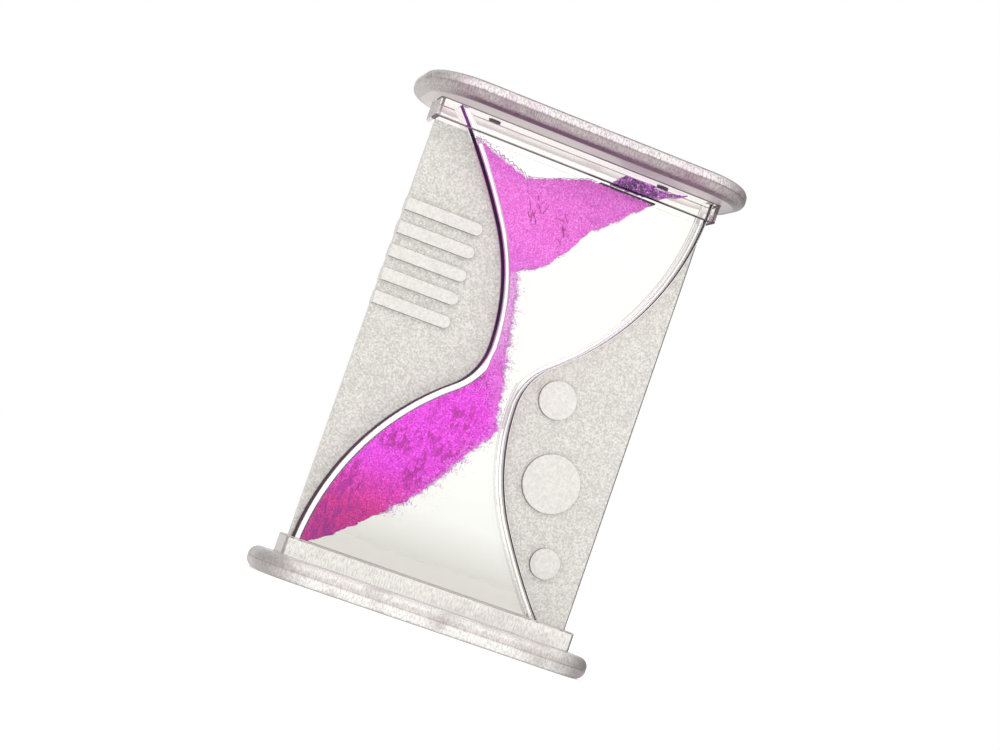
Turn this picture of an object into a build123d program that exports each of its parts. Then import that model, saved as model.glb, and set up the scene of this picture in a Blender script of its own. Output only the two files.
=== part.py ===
"""A liquid motion timer: a sealed, flat, clear hourglass between two flanged caps.

Frame: the timer stands upright on z = 0 with its middle on the Z axis. X runs across the
width, -Y is the front and +Z is up. All lengths are in millimetres.
"""
from build123d import *
import os

# Whole timer
total_height = 140.0

# Flange at each end: a cap plate and a cover plate of one outline, bonded face to face
flange_length = 95.0
flange_depth = 40.0
flange_corner = 15.0
cap_plate_t = 3.0
cover_t = 3.0
nose_radius = 2.7
# The nose is rounded in two flats that touch its radius: a steep one, then a shallow one
steep_run_share = 0.414
shallow_drop_share = 0.317

# Collar that stands on the cap plate and holds the end of the body
collar_height = 5.3
collar_wall = 1.1
collar_corner = 1.0
collar_rim_round = 0.7
cap_fit = 0.1

# Moulded body: a windowed chamber between two thin wings
body_width = 80.0
wing_t = 2.5
chamber_depth = 12.8
window_t = 1.5
wall_t = 1.6
chamber_bevel = 0.5
wing_edge_round = 0.4

# The left wall of the chamber on its wing side. The points are measured from the middle of the
# body, as shares of half its width and half its height, and tangent arcs join them.
neck_shares = (-0.1525, 0.1016)
shoulder_shares = (-0.3825, 0.5953)
mouth_shares = (-0.8825, 1.0)
hip_shares = (-0.310, -0.1039)
foot_shares = (-0.983, -1.0)
# The corner where the two mould cores met, on the chamber side of the same wall
lip_shares = (-0.129, 0.001)

# Raised pads on the wings
pad_rise = 1.2
pad_bevel = 0.3
bar_count = 5
bar_height = 3.6
bar_length = 22.0
bar_pitch = 6.6
lowest_bar_z = 8.3
disc_diameters = (10.8, 16.4, 8.6)
disc_gap = 9.1
disc_line_lean = 15
first_disc_x = 17.0
first_disc_z = -0.9

# Fill and vent ports in each cap plate, and their plugs
port_spacing = 50.0
plug_diameter = 3.4
plug_head_diameter = 5.4
plug_head_t = 1.0
plug_tip = 0.8
plug_fit = 0.1

# Contents: they stand this far off the walls of the chamber
fill_gap = 0.1
overrun = 3.0

# Two points of the still liquid's level, which leans because the timer is held at a tilt, from
# the middle of the body, in shares of half its width and half its height
level_start_shares = (-0.30, 0.8125)
level_end_shares = (0.755, 1.05)

# Outlines of the bead piles, in the same shares. A pile is cut to the chamber, so its wall side
# only has to pass the wall.
upper_pile_shares = (
    (-1.10, 0.905), (-0.70, 0.897), (-0.60, 0.872), (-0.43, 0.830), level_start_shares,
    level_end_shares, (0.845, 1.05), (0.57, 0.906), (0.39, 0.797), (0.222, 0.703),
    (0.178, 0.652), (0.135, 0.597), (0.032, 0.519), (-0.022, 0.483), (-0.145, 0.442),
    (-0.190, 0.417), (-0.50, 0.417),
)
stream_shares = (
    (-0.50, 0.417), (-0.190, 0.417), (-0.143, 0.375), (-0.105, 0.25), (-0.062, 0.12),
    (-0.020, -0.011), (-0.30, -0.011),
)
lower_pile_shares = (
    (-0.30, -0.011), (-0.020, -0.011), (0.020, -0.10), (0.033, -0.164), (0.060, -0.223),
    (0.038, -0.259), (-0.015, -0.294), (-0.060, -0.344), (-0.150, -0.438), (-0.245, -0.525),
    (-0.325, -0.598), (-0.525, -0.734), (-0.740, -0.862), (-1.0, -0.95), (-1.0, -0.3),
)

# Sizes that follow from the ones above
flange_t = cap_plate_t + cover_t
body_height = total_height - 2 * flange_t
half_width = body_width / 2
half_height = body_height / 2
pocket_length = body_width + 2 * cap_fit
pocket_depth = chamber_depth + 2 * cap_fit
collar_length = pocket_length + 2 * collar_wall
collar_depth = pocket_depth + 2 * collar_wall
cavity_depth = chamber_depth - 2 * window_t

# Planes: the front view through the middle of the body, and the two ends looking inwards
front = Plane(origin=(0, 0, total_height / 2), x_dir=(1, 0, 0), z_dir=(0, -1, 0))
bottom_end = Plane(origin=(0, 0, 0), x_dir=(1, 0, 0), z_dir=(0, 0, 1))
top_end = Plane(origin=(0, 0, total_height), x_dir=(-1, 0, 0), z_dir=(0, 0, -1))


def save(part, name):
    """Label a finished piece and write its STEP file."""
    part.label = name
    export_step(part, f"parts/{name}.step")


def at(shares):
    """A point of the front view from shares of half the body's width and height."""
    return Vector(shares[0] * half_width, shares[1] * half_height)


def inset_end(curve, side, amount):
    """The end of a wall curve, moved square to it towards the chamber."""
    return curve @ 1 + (curve % 1).rotate(Axis.Z, side) * amount


# The left wall's two curves, which run on past the ends of the body. Upwards from the neck the
# chamber lies to the right of the direction of travel, and downwards to its left.
UP_SIDE, DOWN_SIDE = -90, 90
neck, shoulder, mouth = at(neck_shares), at(shoulder_shares), at(mouth_shares)
hip, foot = at(hip_shares), at(foot_shares)

with BuildLine() as wing_side:
    neck_up = TangentArc(neck, shoulder, tangent=(0, 1))
    flare = TangentArc(shoulder, mouth, tangent=neck_up % 1)
    past_mouth = Line(mouth, mouth + (flare % 1) * overrun)
    neck_down = TangentArc(neck, hip, tangent=(0, -1))
    sweep_out = TangentArc(hip, foot, tangent=neck_down % 1)
    past_foot = Line(foot, foot + (sweep_out % 1) * overrun)


def chamber_side(depth_in):
    """The left wall's face towards the chamber, depth_in from its wing side.

    The arcs keep the centres of the wing side. At the neck a straight flank and a curved one
    meet in the corner that the mould cores left, and both ends run on past the body.
    """
    extra = depth_in - wall_t
    neck_in = neck + Vector(depth_in, 0)
    lip = at(lip_shares) + Vector(extra, 0)
    hip_in = inset_end(neck_down, DOWN_SIDE, depth_in)
    with BuildLine() as face:
        up = TangentArc(neck_in, inset_end(neck_up, UP_SIDE, depth_in), tangent=(0, 1))
        out = TangentArc(up @ 1, inset_end(flare, UP_SIDE, depth_in), tangent=up % 1)
        Line(out @ 1, out @ 1 + (out % 1) * overrun)
        Line(neck_in, lip)
        TangentArc(hip_in, lip, tangent=-(neck_down % 1))
        down = TangentArc(hip_in, inset_end(sweep_out, DOWN_SIDE, depth_in), tangent=neck_down % 1)
        Line(down @ 1, down @ 1 + (down % 1) * overrun)
    top = out @ 1 + (out % 1) * overrun
    base = down @ 1 + (down % 1) * overrun
    return face.line, top, base


def chamber_outline():
    """The chamber's outer outline: the wing side of the left wall and its half turn."""
    with BuildSketch() as outline:
        with BuildLine():
            add(wing_side.line)
            add(wing_side.line.rotate(Axis.Z, 180))
            Line(past_mouth @ 1, -(past_foot @ 1))
            Line(past_foot @ 1, -(past_mouth @ 1))
        make_face()
    return outline.sketch


def cavity_outline(depth_in):
    """The hollow's outline: the chamber side of the left wall and its half turn."""
    face, top, base = chamber_side(depth_in)
    with BuildSketch() as outline:
        with BuildLine():
            add(face)
            add(face.rotate(Axis.Z, 180))
            Line(top, -base)
            Line(base, -top)
        make_face()
    return outline.sketch


def bar_outlines():
    """Bars that run in from the left edge, each with a half round at its inner end."""
    middle_x = -half_width + (bar_length - bar_height / 2) / 2
    with BuildSketch() as bars:
        for row in range(bar_count):
            with Locations((middle_x, lowest_bar_z + row * bar_pitch)):
                SlotOverall(bar_length + bar_height / 2, bar_height)
        Rectangle(body_width, body_height, mode=Mode.INTERSECT)
    return bars.sketch


def disc_outlines():
    """Discs down a leaning line, with the same gap between each and the next."""
    centre = Vector(first_disc_x, first_disc_z)
    down_the_line = Vector(0, -1).rotate(Axis.Z, disc_line_lean)
    last_radius = 0
    with BuildSketch() as discs:
        for diameter in disc_diameters:
            if last_radius:
                centre += down_the_line * (last_radius + disc_gap + diameter / 2)
            with Locations(centre):
                Circle(diameter / 2)
            last_radius = diameter / 2
    return discs.sketch


def make_chamber():
    """The solid chamber block: bevelled along its curved sides, then cut to the body's height."""
    with BuildPart() as chamber:
        with BuildSketch(front):
            add(chamber_outline())
        extrude(amount=chamber_depth / 2, both=True)
        windows = chamber.faces().filter_by(Axis.Y)
        chamfer(windows.edges().filter_by(GeomType.CIRCLE), chamber_bevel)
        with BuildSketch(front):
            Rectangle(body_width, body_height)
        extrude(amount=chamber_depth / 2, both=True, mode=Mode.INTERSECT)
    return chamber.part


def make_body():
    """One moulding: the windowed chamber, its two wings and their raised pads."""
    chamber = make_chamber()
    with BuildPart() as body:
        with BuildSketch(front):
            Rectangle(body_width, body_height)
        extrude(amount=wing_t / 2, both=True)
        fillet(body.edges().filter_by(Axis.Z), wing_edge_round)

        # Five bars run in from the left edge, and three discs stand down the right wing
        with BuildSketch(front):
            add(bar_outlines())
            add(disc_outlines())
        extrude(amount=wing_t / 2 + pad_rise, both=True)
        pads = body.faces().filter_by(Axis.Y).group_by(Axis.Y)
        chamfer((pads[0] + pads[-1]).edges(), pad_bevel)

        # The chamber, and the hollow that the two cores leave in it
        add(chamber)
        with BuildSketch(front):
            add(cavity_outline(wall_t))
        extrude(amount=cavity_depth / 2, both=True, mode=Mode.SUBTRACT)
    return body.part


def make_plate(base, thickness):
    """Half a flange: a rounded rectangle on its base plane, with the nose on its far side."""
    away = Axis(base.origin, base.z_dir)
    with BuildPart() as plate:
        with BuildSketch(base):
            RectangleRounded(flange_length, flange_depth, flange_corner)
        extrude(amount=thickness)
        far_face = plate.faces().sort_by(away)[-1]
        steep_run = nose_radius * steep_run_share
        chamfer(far_face.edges(), steep_run, nose_radius, reference=far_face)
        far_face = plate.faces().sort_by(away)[-1]
        shallow_drop = nose_radius * shallow_drop_share
        chamfer(far_face.edges(), nose_radius - steep_run, shallow_drop, reference=far_face)
    return plate.part


def make_cap(end):
    """The inner half of a flange with the collar that holds the body, and two ports."""
    inwards = Axis(end.origin, end.z_dir)
    plate = make_plate(end.offset(cover_t), cap_plate_t)
    with BuildPart() as cap:
        add(plate)
        with BuildSketch(end.offset(flange_t)):
            RectangleRounded(collar_length, collar_depth, collar_corner)
        extrude(amount=collar_height)
        fillet(cap.faces().sort_by(inwards)[-1].outer_wire().edges(), collar_rim_round)
        with BuildSketch(end.offset(flange_t)):
            Rectangle(pocket_length, pocket_depth)
        extrude(amount=collar_height + overrun, mode=Mode.SUBTRACT)

        with BuildSketch(end.offset(cover_t)):
            with GridLocations(port_spacing, port_spacing, 2, 1):
                Circle(plug_diameter / 2 + plug_fit)
        extrude(amount=cap_plate_t, mode=Mode.SUBTRACT)
        with BuildSketch(end.offset(cover_t)):
            with GridLocations(port_spacing, port_spacing, 2, 1):
                Circle(plug_head_diameter / 2 + plug_fit)
        extrude(amount=plug_head_t, mode=Mode.SUBTRACT)
    return cap.part


def make_cover(end):
    """The outer half of a flange, which hides the plugs and has the nose on its outer side."""
    joint_face = end.offset(cover_t)
    return make_plate(Plane(joint_face.origin, joint_face.x_dir, -joint_face.z_dir), cover_t)


def make_plugs(end, places):
    """Headed plugs: the head fills its counterbore and the tip stands into the chamber."""
    with BuildPart() as plugs:
        with BuildSketch(end.offset(cover_t)):
            with Locations(*places):
                Circle(plug_head_diameter / 2)
        extrude(amount=plug_head_t)
        with BuildSketch(end.offset(cover_t)):
            with Locations(*places):
                Circle(plug_diameter / 2)
        extrude(amount=cap_plate_t + plug_tip)
    return plugs.part


def make_filling(keep=None, remove=()):
    """A solid of the hollow's shape, less its gaps, cut to one outline and less others."""
    with BuildPart() as filling:
        with BuildSketch(front):
            add(cavity_outline(wall_t + fill_gap))
            Rectangle(body_width, body_height - 2 * fill_gap, mode=Mode.INTERSECT)
            if keep is not None:
                add(keep, mode=Mode.INTERSECT)
            for outline in remove:
                add(outline, mode=Mode.SUBTRACT)
        extrude(amount=cavity_depth / 2 - fill_gap, both=True)

        # Room for the tips of the four plugs
        for end in (bottom_end, top_end):
            with BuildSketch(end.offset(flange_t)):
                with GridLocations(port_spacing, port_spacing, 2, 1):
                    Circle(plug_diameter / 2 + fill_gap)
            extrude(amount=plug_tip + fill_gap, mode=Mode.SUBTRACT)
    return filling.part


def outline_of(shares):
    """A face of the front view from a list of shares."""
    with BuildSketch() as outline:
        with BuildLine():
            Polyline(*[at(point) for point in shares], close=True)
        make_face()
    return outline.sketch


def air_outline():
    """Everything of the front view above the still liquid."""
    start = at(level_start_shares)
    along = (at(level_end_shares) - start).normalized() * body_width
    with BuildSketch() as outline:
        with BuildLine():
            Polyline(start - along, start + along, start + along + Vector(0, body_height),
                     start - along + Vector(0, body_height), close=True)
        make_face()
    return outline.sketch


os.makedirs("parts", exist_ok=True)

# Body and caps
save(make_body(), "body")
save(make_cap(bottom_end), "bottom_cap")
save(make_cap(top_end), "top_cap")
save(make_cover(bottom_end), "bottom_cover")
save(make_cover(top_end), "top_cover")

# Plugs: the top end is turned over, so its positive side is the left one from the front
left_port, right_port = (port_spacing / 2, 0), (-port_spacing / 2, 0)
save(make_plugs(top_end, [left_port]), "vent_plug")
save(make_plugs(top_end, [right_port]), "fill_plug")
save(make_plugs(bottom_end, [left_port, right_port]), "bottom_plugs")

# Contents of the chamber
upper_pile = outline_of(upper_pile_shares)
stream = outline_of(stream_shares)
lower_pile = outline_of(lower_pile_shares)
save(make_filling(upper_pile), "upper_beads")
save(make_filling(stream), "bead_stream")
save(make_filling(lower_pile), "lower_beads")
save(make_filling(remove=(air_outline(), upper_pile, stream, lower_pile)), "liquid")
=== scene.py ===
"""A liquid motion timer, dressed for its picture.

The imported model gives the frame, in metres: +Z up and -Y the front. Sizes here are in millimetres,
as on the drawing of the timer, and one factor turns them to metres.
"""
import logging
import math
from dataclasses import dataclass
from enum import Enum

import bmesh
import bpy
import numpy as np
from mathutils import Matrix, Vector


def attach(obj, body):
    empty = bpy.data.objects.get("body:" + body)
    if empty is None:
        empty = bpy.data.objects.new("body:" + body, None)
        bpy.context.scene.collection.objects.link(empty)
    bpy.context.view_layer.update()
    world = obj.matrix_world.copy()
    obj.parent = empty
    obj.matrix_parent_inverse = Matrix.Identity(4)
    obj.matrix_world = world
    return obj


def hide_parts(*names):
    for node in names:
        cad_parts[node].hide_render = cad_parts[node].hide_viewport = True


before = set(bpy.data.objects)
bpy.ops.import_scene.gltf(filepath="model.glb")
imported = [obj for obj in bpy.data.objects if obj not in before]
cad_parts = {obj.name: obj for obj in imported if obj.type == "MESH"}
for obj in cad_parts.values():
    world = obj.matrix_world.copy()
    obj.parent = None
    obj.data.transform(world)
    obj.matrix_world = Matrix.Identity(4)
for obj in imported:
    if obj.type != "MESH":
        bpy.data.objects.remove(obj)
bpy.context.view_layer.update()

MILLIMETRE = 0.001
MERGE_DISTANCE = 0.0005
FULLEST_CORNER = 0.49
OUT_OF_REACH = 99.0
BODY_MIDDLE = 70.0
SHADE_LAYER = "grain_shade"

Array = np.ndarray
Object = bpy.types.Object
Mesh = bpy.types.Mesh
Tree = bpy.types.NodeTree
Node = bpy.types.Node
Socket = bpy.types.NodeSocket
Pair = tuple[float, float]
Triple = tuple[float, float, float]
Line = tuple[Pair, ...]
Stops = tuple[tuple[float, str], ...]

log = logging.getLogger("timer")


class End(Enum):
    """An end of the timer. The value is the way inwards along Z."""

    BOTTOM = 1
    TOP = -1


class Face(Enum):
    """A face of the timer. The value is the way outwards along Y."""

    FRONT = -1
    BACK = 1


class Flank(Enum):
    """A flank of the timer. The value is the way outwards along X."""

    LEFT = -1
    RIGHT = 1


def linear(hex_colour: str) -> tuple[float, float, float, float]:
    """Turns an sRGB hex colour to the linear values that shaders use.

    Args:
        hex_colour: the colour as six hex digits after a hash.

    Returns:
        Red, green, blue and alpha.
    """
    shares = np.array([int(hex_colour[i:i + 2], 16) / 255 for i in (1, 3, 5)])
    curve = np.where(shares <= 0.04045, shares / 12.92, ((shares + 0.055) / 1.055) ** 2.4)
    return (*curve.tolist(), 1.0)


def per_metre(size_mm: float) -> float:
    """The texture scale that repeats once in a size given in millimetres."""
    return 1 / (size_mm * MILLIMETRE)


def add_node(tree: Tree, kind: str, inputs: dict | None = None, stops: Stops = (),
             **settings: str | bool) -> Node:
    """Adds a node with its settings, its values and its links.

    Args:
        tree: the node tree.
        kind: the node's type, without its first words ShaderNode.
        inputs: for each input, by name or number, a value, a hex colour, an output socket, or a
            node whose first output is meant.
        stops: the places and hex colours of a colour ramp.
        settings: the node's own attributes.

    Returns:
        The node.
    """
    node = tree.nodes.new("ShaderNode" + kind)
    for name, value in settings.items():
        setattr(node, name, value)
    for name, value in (inputs or {}).items():
        if isinstance(value, Node):
            value = value.outputs[0]
        if isinstance(value, Socket):
            tree.links.new(value, node.inputs[name])
        else:
            node.inputs[name].default_value = linear(value) if isinstance(value, str) else value
    elements = node.color_ramp.elements if stops else ()
    for place, (position, colour) in enumerate(stops):
        element = elements[place] if place < len(elements) else elements.new(position)
        element.position = position
        element.color = linear(colour)
    return node


def banded(tree: Tree, place: Socket, axis: str, span: Pair, stops: Stops, wobble: float = 0.0,
           tooth: float = 0.7) -> Node:
    """Colours that follow one axis of the timer.

    Args:
        tree: the node tree.
        place: the object coordinates.
        axis: X, Y or Z.
        span: where the first and the last colour lie on it, in millimetres.
        stops: shares of the span and their hex colours.
        wobble: how ragged the colours' limits are, in millimetres.
        tooth: the size of one tooth of a ragged limit, in millimetres.

    Returns:
        The node that gives the colour.
    """
    where = add_node(tree, "SeparateXYZ", {0: place}).outputs[axis]
    if wobble:
        teeth = add_node(tree, "TexNoise", {
            "Vector": place, "Scale": per_metre(tooth), "Detail": 2.0})
        where = add_node(tree, "Math", {0: teeth, 1: wobble * MILLIMETRE, 2: where},
                         operation="MULTIPLY_ADD")
    first, last = ((limit + wobble / 2) * MILLIMETRE for limit in span)
    along = add_node(tree, "MapRange", {"Value": where, "From Min": first, "From Max": last})
    return add_node(tree, "ValToRGB", {0: along}, stops)


def lit_from_behind(tree: Tree, colour: Socket, share: float, inputs: dict) -> Node:
    """A shader that gives off a share of its colour as a painted glow, as backlit thin plastic does.

    The rest of the colour, one minus the share, is left to the light in front.

    Args:
        tree: the node tree.
        colour: the whole colour.
        share: how much of it comes from behind.
        inputs: the shader's other values.

    Returns:
        The shader.
    """
    rest = 1 - share
    front = add_node(tree, "Mix", {0: 1.0, 6: colour, 7: (rest, rest, rest, 1.0)},
                     data_type="RGBA", blend_type="MULTIPLY")
    return add_node(tree, "BsdfPrincipled", {
        "Base Color": front.outputs[2], "Emission Color": colour, "Emission Strength": share,
        **inputs})


@dataclass(frozen=True)
class Finish:
    """A finish of the timer. Each kind adds its own nodes to the material."""

    name: str

    def surface(self, tree: Tree, place: Socket) -> Node:
        """Adds the finish's nodes.

        Args:
            tree: the material's nodes.
            place: the object coordinates.

        Returns:
            The shader.
        """
        raise NotImplementedError(self.name)

    def material(self) -> bpy.types.Material:
        """Gives the material, which is built when it is first asked for.

        Returns:
            The material.
        """
        material = bpy.data.materials.get(self.name)
        if material is None:
            material = bpy.data.materials.new(self.name)
            material.use_nodes = True
            tree = material.node_tree
            tree.nodes.clear()
            place = add_node(tree, "TexCoord").outputs["Object"]
            add_node(tree, "OutputMaterial", {"Surface": self.surface(tree, place)})
        return material


@dataclass(frozen=True)
class ClearMoulding(Finish):
    """Crystal styrene, injection moulded in a polished tool.

    The eye reads it as glass with a very slight swim, because polished walls of a moulding are
    never quite flat. Light for the beads passes it, with a little loss.
    """

    colour: str = "#FEFEFD"
    ior: float = 1.5
    roughness: float = 0.015
    swim_size: float = 7.0
    swim_depth: float = 0.02
    passed_light: str = "#F2F0F1"

    def surface(self, tree: Tree, place: Socket) -> Node:
        """Adds the clear shader.

        Args:
            tree: the material's nodes.
            place: the object coordinates.

        Returns:
            The shader.
        """
        swim = add_node(tree, "TexNoise", {
            "Vector": place, "Scale": per_metre(self.swim_size), "Detail": 1.0})
        bump = add_node(tree, "Bump", {
            "Height": swim, "Strength": 1.0, "Distance": self.swim_depth * MILLIMETRE})
        clear = add_node(tree, "BsdfPrincipled", {
            "Base Color": self.colour, "Roughness": self.roughness, "IOR": self.ior,
            "Transmission Weight": 1.0, "Normal": bump})
        passing = add_node(tree, "BsdfTransparent", {"Color": self.passed_light})
        ray = add_node(tree, "LightPath")
        return add_node(tree, "MixShader", {
            0: ray.outputs["Is Shadow Ray"], 1: clear, 2: passing})


@dataclass(frozen=True)
class LookedAlong(ClearMoulding):
    """A polished face of the moulding that is looked along, not through.

    Straight on it is clear. Along it a dark colour is mixed in, painted shade and painted
    reflection for what the wall refracts: brown, and purple where beads lie behind.
    """

    axis: str = "Z"
    span: Pair = (0.0, 140.0)
    shades: Stops = ()
    clear_until: float = 0.0
    dark_from: float = 0.2
    darkest: float = 1.0
    dark_until: float = 100.0
    dark_roughness: float = 0.6
    dark_gloss: float = 0.05

    def surface(self, tree: Tree, place: Socket) -> Node:
        """Adds the clear shader and mixes the painted dark one in along the face.

        Args:
            tree: the material's nodes.
            place: the object coordinates.

        Returns:
            The shader.
        """
        clear = super().surface(tree, place)
        # Painted shade and reflection: a dark colour banded along one axis
        dark = add_node(tree, "BsdfPrincipled", {
            "Base Color": banded(tree, place, self.axis, self.span, self.shades),
            "Roughness": self.dark_roughness, "Specular IOR Level": self.dark_gloss})
        along = add_node(tree, "LayerWeight", {0: 0.5})
        share = add_node(tree, "MapRange", {
            "Value": along.outputs["Facing"], "From Min": self.clear_until,
            "From Max": self.dark_from, "To Max": self.darkest})
        parts = add_node(tree, "SeparateXYZ", {0: place})
        in_front = add_node(tree, "Math", {
            0: parts.outputs["Y"], 1: self.dark_until * MILLIMETRE}, operation="LESS_THAN")
        here = add_node(tree, "Math", {0: share, 1: in_front}, operation="MULTIPLY")
        return add_node(tree, "MixShader", {0: here, 1: clear, 2: dark})


@dataclass(frozen=True)
class FlangeEdge(Finish):
    """The rounded edge of a flange: satin styrene, where light from inside the plates comes out.

    That light and the shade are painted: bands of colour along the edge, pale outside the bond line
    and grey inside it, where the bond line and the nose gather them, with patches of caught light
    and a share of painted glow. The satin breaks them into ragged upright speckle, and the round
    ends turn plain grey as painted shade.
    """

    span: Pair
    bands: Stops
    axis: str = "Z"
    end_shades: tuple[str, str] = ("#A8A2A0", "#6C6464")
    caught: str = "#8A6A86"
    caught_share: float = 0.5
    caught_size: float = 11.0
    caught_limits: Pair = (0.50, 0.68)
    straight: float = 31.0
    half_length: float = 47.5
    speckle_size: Triple = (0.4, 0.4, 1.3)
    speckle_limits: Pair = (0.36, 0.60)
    speckle: tuple[str, str] = ("#C8C8C8", "#FFFFFF")
    ragged: float = 0.7
    backlight_glow: float = 0.3
    roughness: float = 0.38
    transmission: float = 0.15

    def surface(self, tree: Tree, place: Socket) -> Node:
        """Adds painted bands, painted caught light and painted grey ends, and the speckle over them.

        Args:
            tree: the material's nodes.
            place: the object coordinates.

        Returns:
            The shader.
        """
        # Painted bands of light and shade along the edge
        bands = banded(tree, place, self.axis, self.span, self.bands, self.ragged)
        # Painted patches of caught light
        glow = add_node(tree, "TexNoise", {
            "Vector": place, "Scale": per_metre(self.caught_size), "Detail": 2.0})
        where = add_node(tree, "MapRange", {
            "Value": glow, "From Min": self.caught_limits[0],
            "From Max": self.caught_limits[1], "To Max": self.caught_share})
        tinted = add_node(tree, "Mix", {0: where, 6: bands, 7: self.caught}, data_type="RGBA")
        parts = add_node(tree, "SeparateXYZ", {0: place})
        side = add_node(tree, "Math", {0: parts.outputs["X"]}, operation="ABSOLUTE")
        bend = add_node(tree, "MapRange", {
            "Value": side, "From Min": self.straight * MILLIMETRE,
            "From Max": self.half_length * MILLIMETRE}, interpolation_type="SMOOTHSTEP")
        # Painted grey shade at the round ends
        far_ends = banded(tree, place, "X", (-self.half_length, self.half_length),
                          tuple(enumerate(self.end_shades)))
        ends = add_node(tree, "Mix", {0: bend, 6: tinted.outputs[2], 7: far_ends},
                        data_type="RGBA")
        upright = add_node(tree, "Mapping", {
            "Vector": place, "Scale": tuple(per_metre(size) for size in self.speckle_size)})
        grain = add_node(tree, "TexNoise", {"Vector": upright, "Scale": 1.0, "Detail": 2.0})
        speckle = add_node(tree, "ValToRGB", {0: grain},
                           tuple(zip(self.speckle_limits, self.speckle)))
        colour = add_node(tree, "Mix", {0: 1.0, 6: ends.outputs[2], 7: speckle},
                          data_type="RGBA", blend_type="MULTIPLY")
        # A share of the colour is given off as a painted glow
        return lit_from_behind(tree, colour.outputs[2], self.backlight_glow, {
            "Roughness": self.roughness, "IOR": 1.5, "Transmission Weight": self.transmission})


@dataclass(frozen=True)
class SparkTexture(Finish):
    """Crystal styrene from a spark-eroded tool.

    The craters of the tool stand on the part as fine grain: the eye gets an even, warm light
    grey, speckled, with pin-point sparkles painted as glints. The grain is drawn a little coarser
    than it is. The wing is thin, so a share of its colour is given off as a painted glow for the
    light that comes through from behind, which evens out the shadows.
    """

    tones: tuple[str, str, str]
    sparkle: str
    behind: float
    grain_size: float = 0.5
    grain_depth: float = 0.04
    cloud_size: float = 2.6
    cloud_share: float = 0.14
    tone_limits: Triple = (0.38, 0.50, 0.62)
    sparkle_size: float = 1.1
    sparkle_limits: Pair = (0.08, 0.18)

    def surface(self, tree: Tree, place: Socket) -> Node:
        """Adds the grain under broad clouds, and a painted glint at the middle of each cell.

        Args:
            tree: the material's nodes.
            place: the object coordinates.

        Returns:
            The shader.
        """
        grain = add_node(tree, "TexNoise", {
            "Vector": place, "Scale": per_metre(self.grain_size), "Detail": 2.0,
            "Roughness": 0.6})
        cloud = add_node(tree, "TexNoise", {
            "Vector": place, "Scale": per_metre(self.cloud_size), "Detail": 2.0})
        both = add_node(tree, "Mix", {0: self.cloud_share, 2: grain, 3: cloud})
        tone = add_node(tree, "ValToRGB", {0: both}, tuple(zip(self.tone_limits, self.tones)))
        # Painted glints: pale spots at the middle of each cell
        cells = add_node(tree, "TexVoronoi", {
            "Vector": place, "Scale": per_metre(self.sparkle_size), "Randomness": 1.0})
        spots = add_node(tree, "ValToRGB", {0: cells},
                         tuple(zip(self.sparkle_limits, ("#FFFFFF", "#000000"))))
        colour = add_node(tree, "Mix", {0: spots, 6: tone, 7: self.sparkle}, data_type="RGBA")
        bump = add_node(tree, "Bump", {
            "Height": grain, "Strength": 0.6, "Distance": self.grain_depth * MILLIMETRE})
        # The share given off from behind is a painted glow
        return lit_from_behind(tree, colour.outputs[2], self.behind, {
            "Roughness": 0.5, "IOR": 1.59, "Normal": bump})


@dataclass(frozen=True)
class SatinPad(Finish):
    """Crystal styrene from a vapour-blasted insert, on the raised pads.

    Finer than the wings around it, so the eye gets a smoother, whiter plate.
    """

    low: str
    high: str
    tone_limits: Pair = (0.35, 0.65)
    grain_size: float = 0.7
    grain_depth: float = 0.015
    ior: float = 1.59
    roughness: float = 0.45
    transmission: float = 0.1

    def surface(self, tree: Tree, place: Socket) -> Node:
        """Adds two tones of one fine grain, and its height.

        Args:
            tree: the material's nodes.
            place: the object coordinates.

        Returns:
            The shader.
        """
        grain = add_node(tree, "TexNoise", {
            "Vector": place, "Scale": per_metre(self.grain_size), "Detail": 2.0})
        tone = add_node(tree, "ValToRGB", {0: grain},
                        tuple(zip(self.tone_limits, (self.low, self.high))))
        inputs = {"Base Color": tone, "Roughness": self.roughness, "IOR": self.ior,
                  "Transmission Weight": self.transmission}
        if self.grain_depth:
            inputs["Normal"] = add_node(tree, "Bump", {
                "Height": grain, "Strength": 0.6, "Distance": self.grain_depth * MILLIMETRE})
        return add_node(tree, "BsdfPrincipled", inputs)


@dataclass(frozen=True)
class PlugPolythene(SatinPad):
    """Soft moulded polythene with a smooth skin.

    The eye gets a milky cloud where it is thick, and a near-black tip of painted shade.
    """

    tone_limits: Pair = (0.3, 0.7)
    grain_size: float = 1.6
    grain_depth: float = 0.0
    ior: float = 1.51
    roughness: float = 0.4


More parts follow.
